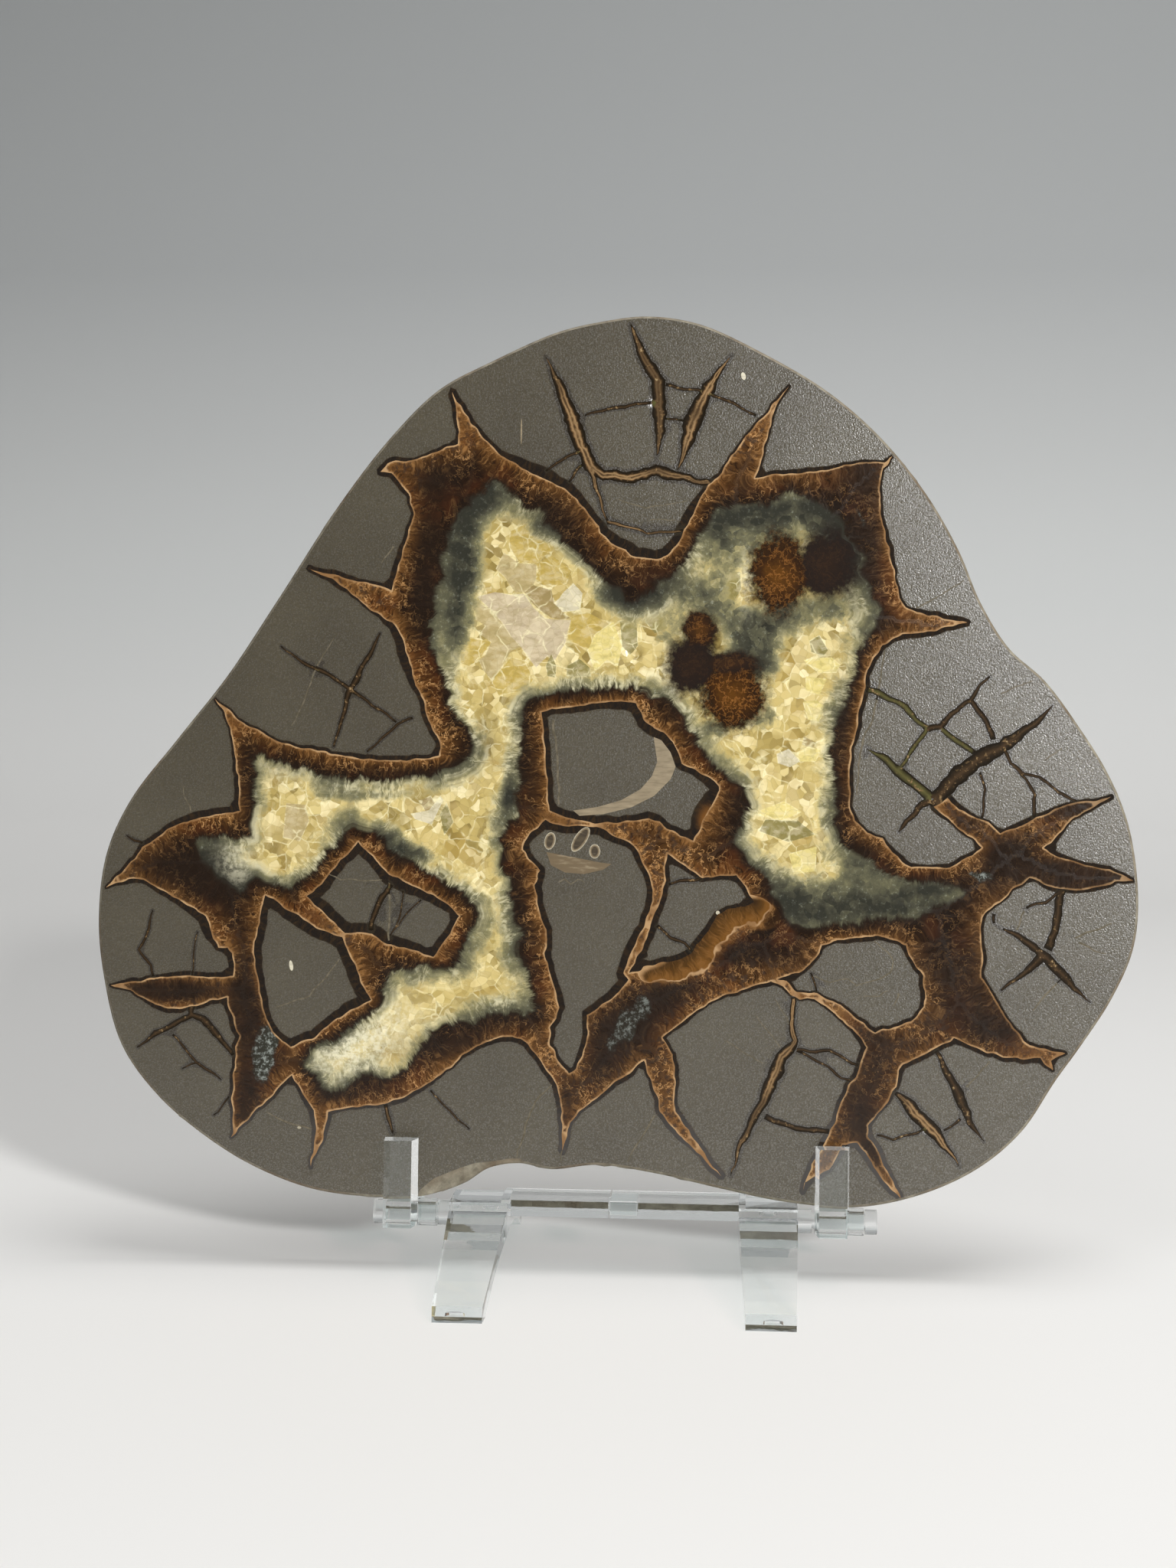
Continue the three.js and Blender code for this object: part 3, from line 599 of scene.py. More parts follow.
rng = np.random.default_rng(7)
fine, plain = hexagon_dots(FINE), hexagon_dots(PLAIN, 0.1)
fine = clear_of(fine[in_cracks(fine)], closed_lines, FINE_GAP)
plain = clear_of(plain[~in_cracks(plain)], closed_lines, PLAIN_GAP)
plain = plain[inside(plain, rim + (BEVEL + 0.4) * right_of(rim))]
fine = fine + rng.uniform(-0.08, 0.08, fine.shape)
print(len(fine), "fine dots and", len(plain), "plain ones")

# %% [markdown]
# ## The sheet
#
# All lines and dots go into the triangulation together. The wide veins also get their middle lines, so that
# they can be sunk along them.

# %% Triangulate the face
sheet_dots = []
sheet_edges = []


def lay(rows, closed):
    """Adds a line to the sheet: its dots, and the edges between them."""
    first = len(sheet_dots)
    sheet_dots.extend(Vector(map(float, row)) for row in rows)
    last = len(sheet_dots) - 1
    sheet_edges.extend((k, k + 1) for k in range(first, last))
    if closed:
        sheet_edges.append((last, first))


for loop in closed_lines:
    lay(loop, True)
for kind, middle, _ in veins:
    if kind != "p":
        lay(middle[1:-1, :2], False)
sheet_dots += [Vector(map(float, row)) for row in np.concatenate([fine, plain])]
found = delaunay_2d_cdt(sheet_dots, sheet_edges, [], 0, 1e-4)
flat = np.array([tuple(v) for v in found[0]])
triangles = np.array([face for face in found[2] if len(face) == 3])
a, b, c = (flat[triangles[:, k]] for k in range(3))
area = (b[:, 0] - a[:, 0]) * (c[:, 1] - a[:, 1]) - (b[:, 1] - a[:, 1]) * (c[:, 0] - a[:, 0])
triangles[area < 0] = triangles[area < 0][:, ::-1]
middles = (a + b + c) / 3
keep = inside(middles, rim_face) & (np.abs(area) > 1e-7)
triangles, middles = triangles[keep], middles[keep]
print(len(flat), "dots,", len(triangles), "triangles")

# %% [markdown]
# Each triangle gets the mineral that holds its middle. What grew later lies on top: the cracks cut the
# veins.

# %% Minerals
MUDSTONE, LINING, CORE, VEIN, FOSSIL, CHIPPED = range(6)
zone = np.full(len(triangles), MUDSTONE)
for _, loop in fossils:
    zone[inside(middles, loop)] = FOSSIL
for loop in vein_loops:
    zone[inside(middles, loop)] = VEIN
cracks = in_cracks(middles)
zone[cracks] = LINING
zone[inside(middles, window) & cracks] = CORE
zone[inside(middles, chip)] = CHIPPED
crystal_tint = np.zeros(len(triangles))
for tint, loop in crystals:
    crystal_tint[inside(middles, loop) & (zone == CORE)] = tint
print(np.bincount(zone), "triangles in each mineral")

# %% [markdown]
# ## What each dot knows
#
# The colours follow distances: from the crack's wall, from the yellow core, from a vein, from the rim. They
# are measured once for each dot and kept as named attributes, which the materials read.

# %% Distances
wall_mm, along_mm = nearest(flat, [wall, *islands])
core_mm = nearest(flat, [window])[0]
core_mm = np.where(inside(flat, window), core_mm, -core_mm)
rim_mm = nearest(flat, [rim])[0]
crystal_mm = nearest(flat, [loop for _, loop in crystals])[0]
fossil_tone = np.zeros(len(flat))
for tone, loop in fossils:
    fossil_tone[inside(flat, loop) | (nearest(flat, [loop])[0] < 0.05)] = tone
print("widest lining", round(float(wall_mm[triangles[zone == LINING]].max()), 1), "mm")

# %% [markdown]
# A vein is measured from its side. Its ratio is 0 in its middle and 1 at its side.

# %% Distances from veins
VEIN_REACH = 4
FAR = 9.0
vein_mm = np.full(len(flat), FAR)
vein_tone = np.zeros(len(flat))
vein_ratio = np.ones(len(flat))
vein_half = np.ones(len(flat)) * 0.1
for kind, middle, _ in veins:
    corners = middle[:, :2].min(0) - VEIN_REACH, middle[:, :2].max(0) + VEIN_REACH
    near = np.where(((flat > corners[0]) & (flat < corners[1])).all(1))[0]
    for (x0, y0, h0), (x1, y1, h1) in zip(middle, middle[1:]):
        d = np.array([x1 - x0, y1 - y0])
        t = np.clip(((flat[near] - (x0, y0)) @ d) / max(d @ d, 1e-9), 0, 1)
        gap = np.hypot(flat[near, 0] - x0 - t * d[0], flat[near, 1] - y0 - t * d[1])
        half = h0 + (h1 - h0) * t
        closer = gap - half < vein_mm[near]
        who = near[closer]
        vein_mm[who] = (gap - half)[closer]
        vein_tone[who] = VEIN_TONES[kind]
        vein_ratio[who] = np.clip(gap / half, 0, 1.5)[closer]
        vein_half[who] = half[closer]
print((vein_mm < 0).sum(), "dots inside veins")

# %% [markdown]
# ## Clouds, dark places and balls
#
# The minerals aren't the same everywhere. Near some walls the crystals are grey-green, parts of the brown
# lining are almost black, and in some places the stain beside a wall is wide. One block has a smooth
# orange-brown shelf along its lower side, and the ends of the yellow field are like white sugar. Each of
# these is made of soft ovals: middle, half sizes and strength.

# %% Soft ovals
def table(text):
    return np.array([numbers(word) for word in text.split()])


SOFT_OVALS = {
    "cloud": table("""
-25.2,98,2.4,8,1 -26.6,88,1.8,6,.75 -21.5,107.5,3,3,.6 18,103.8,6.5,2.6,1 26,105.5,6,2.2,.8 14,99,3,3.6,.55
11,92.5,4,3.4,.5 18.7,83.5,5,3.4,.9 7,86.2,3.4,4,.55 11.5,92,3,3,.4 33,46.6,8,3.2,1 27,45.5,4,3,.7
42,46.2,6,1.8,.7 34.5,51,3,2.4,.35 -64.5,50.2,3.6,3.6,1 -60,48.4,3,2.4,.7 34,101,2.4,4.4,.75
19.5,73.6,4.2,2.4,.8 13.5,72.4,2.6,1.8,.6 -20,57.6,1.2,3,.3 -18.3,61.5,.9,3.4,.75 -36.4,55,2.6,2.2,.55
-33,53,3,1.4,.8 25.5,90.5,5,2.2,.6 -0.5,93,5,1.8,.8 -38,61.5,9,1,.35 -12,102.5,3.4,1.6,.5 16.8,88.6,2.2,3,.6
20.5,88.4,5,2.2,.7 14.5,97.5,2.4,4.6,.4 -55.8,20.6,2,5,1 -54.2,24,1.2,2,.6 2.8,29.8,1.5,2,.85
.2,26.9,1.7,2.8,1.1 -2.1,23.9,1,2,.7 31.5,91,3,2.4,.55 29.5,104.6,4,2.8,.8 24,102.6,6,2.2,.7
17.6,99.6,2.4,3.4,.6 19.5,83.5,2.6,3,.5 14.4,91,2.4,2.6,.4 21.6,77,1.6,3,.5 53.2,50.3,3,1.1,.8
46.3,48.2,3.4,.8,.5 57,31,3,1,.5"""),
    "dark": table("""
-31.2,100,2.4,9,.95 -29.8,110.5,3.4,3,.8 -32.5,92,1.8,6,.7 -70,50.6,7,3.6,.8 -63.6,47,3.6,3.6,1
-59,32,1.7,8,.85 -70,31.2,7,1.4,.9 -57.5,27,2.4,3,.8 -58.4,14,1.3,4,.75 -52.6,22,1.4,1.6,.5 -41,16,7,1.6,.5
-9,14.6,1.6,6,.6 -19,27,6,1.4,.5 28.5,113,9,1.2,.4 36.8,104,1.8,7,.55 -12.4,104.6,5,3.4,.75
3.8,95.4,5,2.6,.7 32.6,73,1.2,10,.65 34.6,61,2,4,.6 70.2,60.8,6,2,.75 69,50.6,7,1.8,.75 57.4,53,2.8,2.2,1
38,10,2.6,5,.95 56,37,2.4,8,.35 58,28,3,2.4,.5 37.3,28,3,4,.4 25,37.6,6,2,.4 38,43,5,1.6,.3 -54,66,1.6,3,.5
-36,65.2,9,1,.45 -22,70,1.8,3,.75 -17,66,1.2,9,.35 68,61.6,7,2,.85 67,50.6,8,2,.5 58.5,54.4,3.5,2.6,.6
51.8,58.6,3,1.5,.7 56,27.6,5,2.4,.55 37.6,23.6,3,4,.55 34.8,15.8,2.4,5,.6 50,37,4,6,.2 -59.6,64,1.4,6,.7
-58.8,27,2.4,6,.6 -57.6,16,2.4,5,.7 -72,30.8,8,1.6,.8 -66,49.6,5,3,.5 -30,23,8,1.6,.55 .4,26.6,5,4,1
-3.4,22,2.6,4.6,.9 3.4,30.4,4,2.6,.8 19.3,39,3,1.5,.7 15,37.4,2.6,1.5,.6 10,33.2,2.4,1.7,.7 6.6,31,2,1.6,.8
35.6,112,3,3,.6 -25,24.6,5,1.8,.6 -14.8,65,1.2,9,.4 17,61.4,2,3,.5 -16.4,43,1.2,8,.45 -14.4,37,1.4,4,.4
33,109,6,3.4,.35 29.8,97.6,5.4,5.6,.7 9.8,81.9,4.2,4.6,.7 35.4,98,2.4,8,.35 66,50.4,9,2.4,.6 72,62,5,1.6,.6
52,31,3,6,.3 46,37,5,2.4,.35 50,34,12,14,.3 64,50,9,9,.2 36,14,6,9,.25"""),
    "wide_stain": table("""
12,58.6,2.6,4,.72 -13,113.6,7,3,.45 -1.6,101.4,4,2,.36 -66,40.8,3,2.6,.4 -38,45,14,10,.35 -48,33,10,12,.32
-3,68,12,10,.32 -4,42,9,14,.3 -35,86,3,9,.4 -66,57,9,2.4,.25 -8.5,109,3.5,3,.2 -4.6,103.5,3,3,.12
2.8,100.4,3.4,2.4,.22 7.8,104,2,4,.28"""),
    "shelf": table("""
19.6,44.4,3,2.4,1 15,42.4,3,2.6,1 12.2,39,2.8,3,1 9,35.8,3,2.4,1 4.4,34.4,3,1.6,.7 21.8,43.6,1.6,1.4,.8"""),
    "sugar": table("""
-43,22,5,3.4,1 -38,25,4,3,.7 -34,28.5,3,2,.4 -60.8,50.5,2.4,3,.8 -50,66,9,1.6,.5 17.6,95,.8,3.4,.8
6.4,79,1,4,.6"""),
}


def glow(ovals):
    """The strengths of all ovals at each dot, each fading out softly, added and held at 1."""
    total = np.zeros(len(flat))
    for x, y, rx, ry, strength in ovals:
        total += strength * np.exp(-0.9 * (((flat[:, 0] - x) / rx) ** 2 + ((flat[:, 1] - y) / ry) ** 2))
    return np.minimum(total, 1.0)


glows = {name: glow(ovals) for name, ovals in SOFT_OVALS.items()}
print(", ".join(f"{len(ovals)} of {name}" for name, ovals in SOFT_OVALS.items()))

# %% [markdown]
# Round balls of brown fibres grew among the yellow crystals. Each is an oval too, and its last number says
# how dark it is. Where two of them meet, the nearer one counts.

# %% Balls
BALLS = table("""
22.7,96,4.7,6.3,.1 30,97.8,4.7,5.1,1 15.8,77.4,5.4,5.4,.05 9.6,82,4,4.2,1 10.7,87.5,2.7,3,.45
15.5,82.4,4.4,1.8,.8""")
ball = np.full(len(flat), -1.0)
ball_dark = np.zeros(len(flat))
for x, y, rx, ry, dark in BALLS:
    value = 1 - np.hypot((flat[:, 0] - x) / rx, (flat[:, 1] - y) / ry)
    closer = value > ball
    ball[closer], ball_dark[closer] = value[closer], dark
DOT_VALUES = {
    "wall_mm": wall_mm, "rim_mm": rim_mm, "along_mm": along_mm, "core_mm": core_mm, "vein_mm": vein_mm,
    "vein_tone": vein_tone, "vein_ratio": vein_ratio, **glows, "ball": ball, "ball_dark": ball_dark,
    "crystal_mm": crystal_mm, "fossil_tone": fossil_tone,
}
print(len(BALLS), "balls,", len(DOT_VALUES), "values at each dot")

# %% [markdown]
# ## The relief of the polished face
#
# Veins lie a little below the polished face, so they catch the light. There is one pit in the core, and at
# the bottom a flake is broken off, so the face slopes back there.

# %% Relief
down = np.zeros(len(flat))
in_vein = np.zeros(len(flat), bool)
in_vein[np.unique(triangles[zone == VEIN])] = True
dip = np.clip(1 - vein_ratio**2, 0, 1) * np.minimum(0.025, vein_half * 0.06)
down[in_vein] = dip[in_vein] * (vein_tone[in_vein] < 0.9)
PIT_PLACE, PIT_SIZE, PIT_DEPTH = (1.0, 83.8), (1.0, 0.95), 1.1
pit = 1 - np.hypot(*((flat - PIT_PLACE) / PIT_SIZE).T)
down += np.clip(pit * 2.2, 0, 1) * PIT_DEPTH
chipped = np.unique(triangles[zone == CHIPPED])
slope = nearest(flat[chipped], [CHIP[1:11]], closed=False)[0]
hollows = np.array([noise.fractal(Vector((x * 0.5, y * 0.5, 3.0)), 0.9, 2.0, 3) for x, y in flat[chipped]])
down[chipped] = np.clip(slope * (0.85 + 0.25 * hollows), 0, 2.3)
print("the chip is", round(float(down.max()), 2), "mm deep")

# %% [markdown]
# ## From the sheet to solids
#
# The flat sheet becomes two closed solids, one of stone and one of yellow crystals. Small helpers come
# first: one makes an object with smooth faces, one stores values in its mesh, and one finds the border of
# some triangles.

# %% Mesh tools
def make_object(name, vertices, faces, materials, slots):
    mesh = bpy.data.meshes.new(name)
    mesh.from_pydata(vertices.tolist(), [], faces)
    for material in materials:
        mesh.materials.append(material)
    mesh.polygons.foreach_set("material_index", slots)
    mesh.polygons.foreach_set("use_smooth", [True] * len(faces))
    mesh.update()
    return new_object(name, mesh)


def add_values(mesh, name, kind, domain, values):
    mesh.attributes.new(name, kind, domain).data.foreach_set("value", values)


def border(faces):
    """The directed edges that only one triangle has."""
    edges = set()
    for i, j, k in faces:
        edges.update(((i, j), (j, k), (k, i)))
    return [(i, j) for i, j in edges if (j, i) not in edges]


def strip(before, here):
    """The four-cornered faces between two rings of dots."""
    return np.stack([np.roll(before, -1), before, here, np.roll(here, -1)], 1).tolist()


def ring_edges(ring):
    return zip(ring.tolist(), np.roll(ring, -1).tolist())


SLOT_OF = {MUDSTONE: 0, LINING: 1, VEIN: 2, FOSSIL: 3, CHIPPED: 4}
RIND = SLOT_OF[CHIPPED]
on_rim = nearest(flat, [rim_face])[0] < 1e-3
print(on_rim.sum(), "dots round the rim")


# %% [markdown]
# The outer rim isn't a plain wall. It is the nodule's own rough skin, and goes back in rings of dots, which
# noise moves in and out.

# %% The rough skin
RINGS = (0.45, 1.3, 2.4, 3.5, 4.6, 5.7, 6.55)


def skin(where, sunk):
    """The rings of the skin from front to back, around the dots of the rim."""
    away = right_of(where)
    for level, depth in enumerate(RINGS):
        at_end = level in (0, len(RINGS) - 1)
        bumps = np.array([
            noise.fractal(Vector((x * 0.22, y * 0.22, depth * 0.35)), 0.8, 2.0, 4) for x, y in where])
        out = BEVEL * 0.92 if at_end else BEVEL
        rough = 0.0 if at_end else 0.42
        spot = where + away * (out + rough * (bumps - 0.25))[:, None]
        yield place(*spot.T, np.maximum(depth, sunk + 0.1 + 0.12 * level))


def in_order(edges):
    """The edges' dots as one ring."""
    follows = dict(edges)
    ring = [edges[0][0]]
    while follows[ring[-1]] != ring[0]:
        ring.append(follows[ring[-1]])
    return np.array(ring)


print("the skin has", len(RINGS), "rings")


# %% [markdown]
# A solid gets a front, a back and the walls between. Edges where the surface should look creased, such as
# the arris of the polished face, are marked as sharp.

# %% A solid
def solid(name, chosen, face_slots, materials, has_skin=False):
    """A closed solid from the chosen triangles of the sheet."""
    used = np.unique(triangles[chosen])
    number = np.full(len(flat), -1)
    number[used] = np.arange(len(used))
    local = number[triangles[chosen]]
    count = len(used)
    faces = local.tolist() + (local[:, ::-1] + count).tolist()
    slots = [*face_slots, *face_slots]
    vertices = [place(*flat[used].T, down[used]), place(*flat[used].T, THICKNESS)]
    source = [used, used]
    sharp = set()
    edges = border(local.tolist())
    outer = on_rim[used] & has_skin
    for i, j in edges:
        if not (outer[i] and outer[j]):
            faces.append((j, i, i + count, j + count))
            slots.append(slots[0])
            sharp.update(((i, j), (i + count, j + count)))
    if has_skin:
        ring = in_order([(i, j) for i, j in edges if outer[i] and outer[j]])
        before = ring
        for corners in skin(flat[used[ring]], down[used[ring]]):
            here = sum(map(len, vertices)) + np.arange(len(ring))
            vertices.append(corners)
            source.append(used[ring])
            faces += strip(before, here)
            before = here
        faces += strip(before, ring + count)
        slots += [RIND] * (len(ring) * (len(RINGS) + 1))
        sharp.update([*ring_edges(ring), *ring_edges(ring + count)])
        for slot in (SLOT_OF[VEIN], RIND):
            sharp.update(border(local[np.array(face_slots) == slot].tolist()))
    made = make_object(name, np.concatenate(vertices), faces, materials, slots)
    mesh = made.data
    keys = {tuple(sorted(edge)) for edge in sharp}
    is_sharp = [tuple(sorted(edge.vertices)) in keys for edge in mesh.edges]
    add_values(mesh, "sharp_edge", "BOOLEAN", "EDGE", is_sharp)
    which = np.concatenate(source)
    for label, values in DOT_VALUES.items():
        add_values(mesh, label, "FLOAT", "POINT", values[which].astype(np.float32))
    tints = np.zeros(len(faces), np.float32)
    tints[:len(local)] = tints[len(local):2 * len(local)] = crystal_tint[chosen]
    add_values(mesh, "crystal_tint", "FLOAT", "FACE", tints)
    return made


print("the two solids will have", 2 * len(triangles), "flat faces, and their walls")


# %% [markdown]
# ## Tools for materials
#
# A material is a net of nodes. A wire is one output in it, and the signs + - * / put a Math node behind it,
# so a formula reads like one. A colour has three numbers, 0 to 255 as on a screen, and is turned into the
# linear light that the renderer counts in.

# %% Colours and wires
def linear(colour):
    """A screen colour of three numbers as linear light; one of four numbers is linear already."""
    if len(colour) == 4:
        return colour
    parts = [c / 255 for c in colour]
    return (*(c / 12.92 if c <= 0.04045 else ((c + 0.055) / 1.055) ** 2.4 for c in parts), 1.0)


class Wire:
    """An output of a node, which can be counted with."""

    def __init__(self, net, socket):
        self.net = net
        self.socket = socket

    def __add__(self, other):
        return self.net.math("ADD", self, other)

    def __sub__(self, other):
        return self.net.math("SUBTRACT", self, other)

    def __rsub__(self, other):
        return self.net.math("SUBTRACT", other, self)

    def __mul__(self, other):
        return self.net.math("MULTIPLY", self, other)

    def __truediv__(self, other):
        return self.net.math("DIVIDE", self, other)

    def at_least(self, other):
        return self.net.math("MAXIMUM", self, other)

    def centred(self, size):
        """A pattern of 0 to 1 as a push to both sides of nought."""
        return (self - 0.5) * size

    def step(self, low, high, a=0.0, b=1.0):
        """Turns low..high into a..b with soft ends."""
        made = self.net.add("MapRange", interpolation_type="SMOOTHSTEP")
        return self.net.fill(made, self, low, high, a, b)

    def mix(self, share, colour):
        """This colour with a share of another over it."""
        return self.net.mix(share, self, colour)


print("mid grey on a screen is", round(linear((128, 128, 128))[0], 3), "in linear light")


# %% [markdown]
# The net itself makes nodes, puts values into their sockets, and has one tool for each kind of node.

# %% The net
class Net:
    """The nodes of one material or group."""

    def __init__(self, tree):
        self.tree = tree

    def add(self, kind, **settings):
        made = self.tree.nodes.new("ShaderNode" + kind)
        for key, value in settings.items():
            setattr(made, key, value)
        return made

    def put(self, socket, value):
        """Joins a wire to a socket, or sets the socket's own value."""
        if isinstance(value, Wire):
            self.tree.links.new(value.socket, socket)
        else:
            socket.default_value = linear(value) if socket.type == "RGBA" else value

    def fill(self, node, *values, **named):
        """Puts values into a node's sockets, in order or by name, and gives its first output."""
        for k, value in enumerate(values):
            self.put(node.inputs[k], value)
        for label, value in named.items():
            self.put(node.inputs[label.replace("_", " ")], value)
        return Wire(self, node.outputs[0]) if node.outputs else None

    def math(self, operation, *values):
        return self.fill(self.add("Math", operation=operation), *values)

    def vector(self, operation, *values, **named):
        return self.fill(self.add("VectorMath", operation=operation), *values, **named)

    def join(self, x, y, z=0.0):
        return self.fill(self.add("CombineXYZ"), x, y, z)

    def red(self, colour):
        return self.fill(self.add("SeparateColor"), colour)

    def value(self, name):
        return Wire(self, self.add("Attribute", attribute_name=name).outputs["Fac"])

    def mix(self, share, a, b):
        made = self.add("Mix", data_type="RGBA")
        for socket, value in zip((made.inputs[0], made.inputs[6], made.inputs[7]), (share, a, b)):
            self.put(socket, value)
        return Wire(self, made.outputs[2])

    def group(self, tree, **values):
        made = self.add("Group", node_tree=tree)
        self.fill(made, **values)
        return [Wire(self, socket) for socket in made.outputs]

    def ramp(self, value, stops, steps="LINEAR"):
        """Colours along a value; each stop is its place and its colour."""
        made = self.add("ValToRGB")
        made.color_ramp.interpolation = steps
        line = made.color_ramp.elements
        while len(line) < len(stops):
            line.new(0.5)
        for element, (where, *colour) in zip(line, stops):
            element.position = where
            element.color = linear(colour)
        return self.fill(made, value)

    def bump(self, height, strength, distance, **named):
        return self.fill(self.add("Bump"), Height=height, Strength=strength, Distance=distance, **named)


print("tools of a net:", ", ".join(name for name in vars(Net) if name[0] != "_"))

# %% [markdown]
# Two patterns make nearly everything. Noise gives soft clouds and grain. Cells give flecks and crystals. A
# place that is pushed about by noise bends the pattern that is laid on it.

# %% Patterns
class Patterns(Net):
    def noise(self, place, scale, detail=2.0, rough=0.5, out="Fac"):
        made = self.add("TexNoise", noise_dimensions="3D")
        self.fill(made, Vector=place, Scale=scale, Detail=detail, Roughness=rough)
        return Wire(self, made.outputs[out])

    def cells(self, place, scale, out="Color", feature="F1"):
        made = self.add("TexVoronoi", feature=feature)
        self.fill(made, Vector=place, Scale=scale)
        return Wire(self, made.outputs[out])

    def bent(self, place, scale, size):
        push = self.noise(place, scale, out="Color")
        return self.vector("ADD", place, self.vector("SCALE", push, Scale=size))


def new_group(name, inputs, outputs):
    """A node group. Inputs have defaults, and a place has None. Outputs have kinds."""
    tree = bpy.data.node_groups.new(name, "ShaderNodeTree")
    for label, default in inputs.items():
        kind = "NodeSocketVector" if default is None else "NodeSocketFloat"
        socket = tree.interface.new_socket(label, in_out="INPUT", socket_type=kind)
        if default is not None:
            socket.default_value = default
    for label, kind in outputs.items():
        tree.interface.new_socket(label, in_out="OUTPUT", socket_type="NodeSocket" + kind)
    net = Patterns(tree)
    into = tree.nodes.new("NodeGroupInput")
    return tree, net, [Wire(net, into.outputs[label]) for label in inputs], tree.nodes.new("NodeGroupOutput")


place_group, n, _, out = new_group("place in millimetres", {}, {"Place": "Vector"})
n.fill(out, Place=n.vector("SCALE", Wire(n, n.add("TexCoord").outputs["Object"]), Scale=1000.0))


def new_material(name):
    """A material, its net, and the place in millimetres."""
    made = bpy.data.materials.new(name)
    made.use_nodes = True
    net = Patterns(made.node_tree)
    net.shader = made.node_tree.nodes["Principled BSDF"]
    return made, net, net.group(place_group)[0]


def tell(made):
    print(f"{made.name}: {len(made.node_tree.nodes)} nodes")


print("first group:", place_group.name)

# %% [markdown]
# ## Effects that several minerals share
#
# The place in millimetres gives every pattern its true scale. Fibres run straight out from a wall: they are
# noise that is stretched along the distance from the wall and squeezed along the wall. Curly threads are
# thin lines where a noise crosses its middle value.

# %% Fibres and threads
fibre_group, n, (along, away, fineness, stretch), out = new_group(
    "fibres from the wall",
    {"Along": 0.0, "Away": 0.0, "Fineness": 2.5, "Stretch": 0.35},
    {"Fibres": "Float", "Tufts": "Float"},
)
sway = n.noise(n.join(along, away), 0.6)
drawn_out = n.join((along + sway * 1.6) * fineness, away * stretch, away * 0.1)
n.fill(
    out, Fibres=n.noise(drawn_out, 1.0, 3.0, 0.6),
    Tufts=n.noise(n.vector("SCALE", drawn_out, Scale=0.33), 1.0),
)

thread_group, n, (spot, scale, width), out = new_group(
    "curly threads", {"Place": None, "Scale": 1.0, "Width": 0.05}, {"Threads": "Float"})
curl = n.noise(n.bent(spot, 0.9, 1.6), scale, 3.0, 0.6)
n.fill(out, Threads=n.math("ABSOLUTE", curl - 0.5).step(0.0, width, 1.0, 0.0))
print("groups:", ", ".join(tree.name for tree in bpy.data.node_groups))

# %% [markdown]
# ## From brown lining to yellow core
#
# Needles of both grew into each other, so the line between them is hidden under a band that goes from
# black-brown over slate grey, with white specks, to pale yellow. Both materials use the same band, with the
# same distance, and so it runs on across the line. Clouds widen it, and far inside the lining they are
# pockets of sparkling crystals.

# %% Reach of the band
band_group, n, (spot, along, core, cloudy), out = new_group(
    "band between lining and core",
    {"Place": None, "Along": 0.0, "Core": 0.0, "Cloud": 0.0},
    {"Colour": "Color", "Share": "Float"},
)
needles = n.noise(n.join(along * 2.4, core * 0.6), 1.0, 3.0, 0.65)
speck = n.noise(spot, 1.5, 4.0, 0.75)
blotch = n.noise(spot, 0.55, 3.0, 0.6)
drift = n.noise(spot, 0.085, 1.0).step(0.4, 0.62, 0.05, 1.0)
grit = n.red(n.cells(n.bent(spot, 0.6, 1.5), 0.85))
ragged = needles.centred(1.6) + speck.centred(2.2) + blotch.centred(3.0) + grit.centred(cloudy * 1.8)
reach = n.math("MINIMUM", core.at_least(-3.0), 4.2) + ragged - (drift * 1.8 - 1.1 + cloudy * 5.2)
pocket = core.step(-3.4, -2.2, 1.0, 0.0)
deep_cloud = pocket * (cloudy + blotch.centred(0.8))
into_brown = (core + ragged * 0.5).step(-1.7, -0.4).at_least(deep_cloud.step(0.35, 0.7))
n.fill(out, Share=reach.step(0.9, 2.7, 1.0, 0.0) * into_brown)
reach_nodes = len(band_group.nodes)
print("the band's reach takes", reach_nodes, "nodes")

# %% [markdown]
# The band's colours follow its reach. White specks and frosty needles lie over them.

# %% Colours of the band
slate = n.ramp((reach + 3.0) * 0.1667, [
    (0.0, 46, 46, 38), (0.2, 66, 65, 52), (0.42, 92, 90, 69),
    (0.6, 120, 115, 82), (0.76, 156, 146, 102), (0.92, 188, 174, 122),
])
white = (speck + pocket * 0.085).step(0.56, 0.72) * reach.step(-3.0, 0.4, 0.2, 0.6).at_least(pocket * 0.9)
slate = slate.mix(white, n.mix(pocket, (150, 154, 138), (148, 154, 147)))
frost = needles.step(0.4, 0.66) * reach.step(-0.8, 0.8) * n.noise(spot, 0.12).step(0.4, 0.6, 0.1, 0.65)
slate = slate.mix(frost * cloudy.step(0.15, 0.6, 1.0, 0.15), (222, 214, 178))
brown_side = (core + needles.centred(2.2)).step(-0.9, 0.1, 1.0, 0.0) * deep_cloud.step(0.4, 0.75, 1.0, 0.0)
n.fill(out, Colour=slate.mix(brown_side, (32, 22, 13)))


def under_band(net, colour, spot, core):
    """Lays the band over a colour, and gives the band's share too."""
    band, share = net.group(
        band_group, Place=spot, Along=net.value("along_mm"), Core=core, Cloud=net.value("cloud"))
    return colour.mix(share, band), share


print("its colours take", len(band_group.nodes) - reach_nodes, "more")

# %% [markdown]
# ## Mudstone
#
# Polished mudstone is a warm grey with fine grain. Along each crack a crisp dark stain soaked into it, of
# uneven width, and where it went far it turned orange.

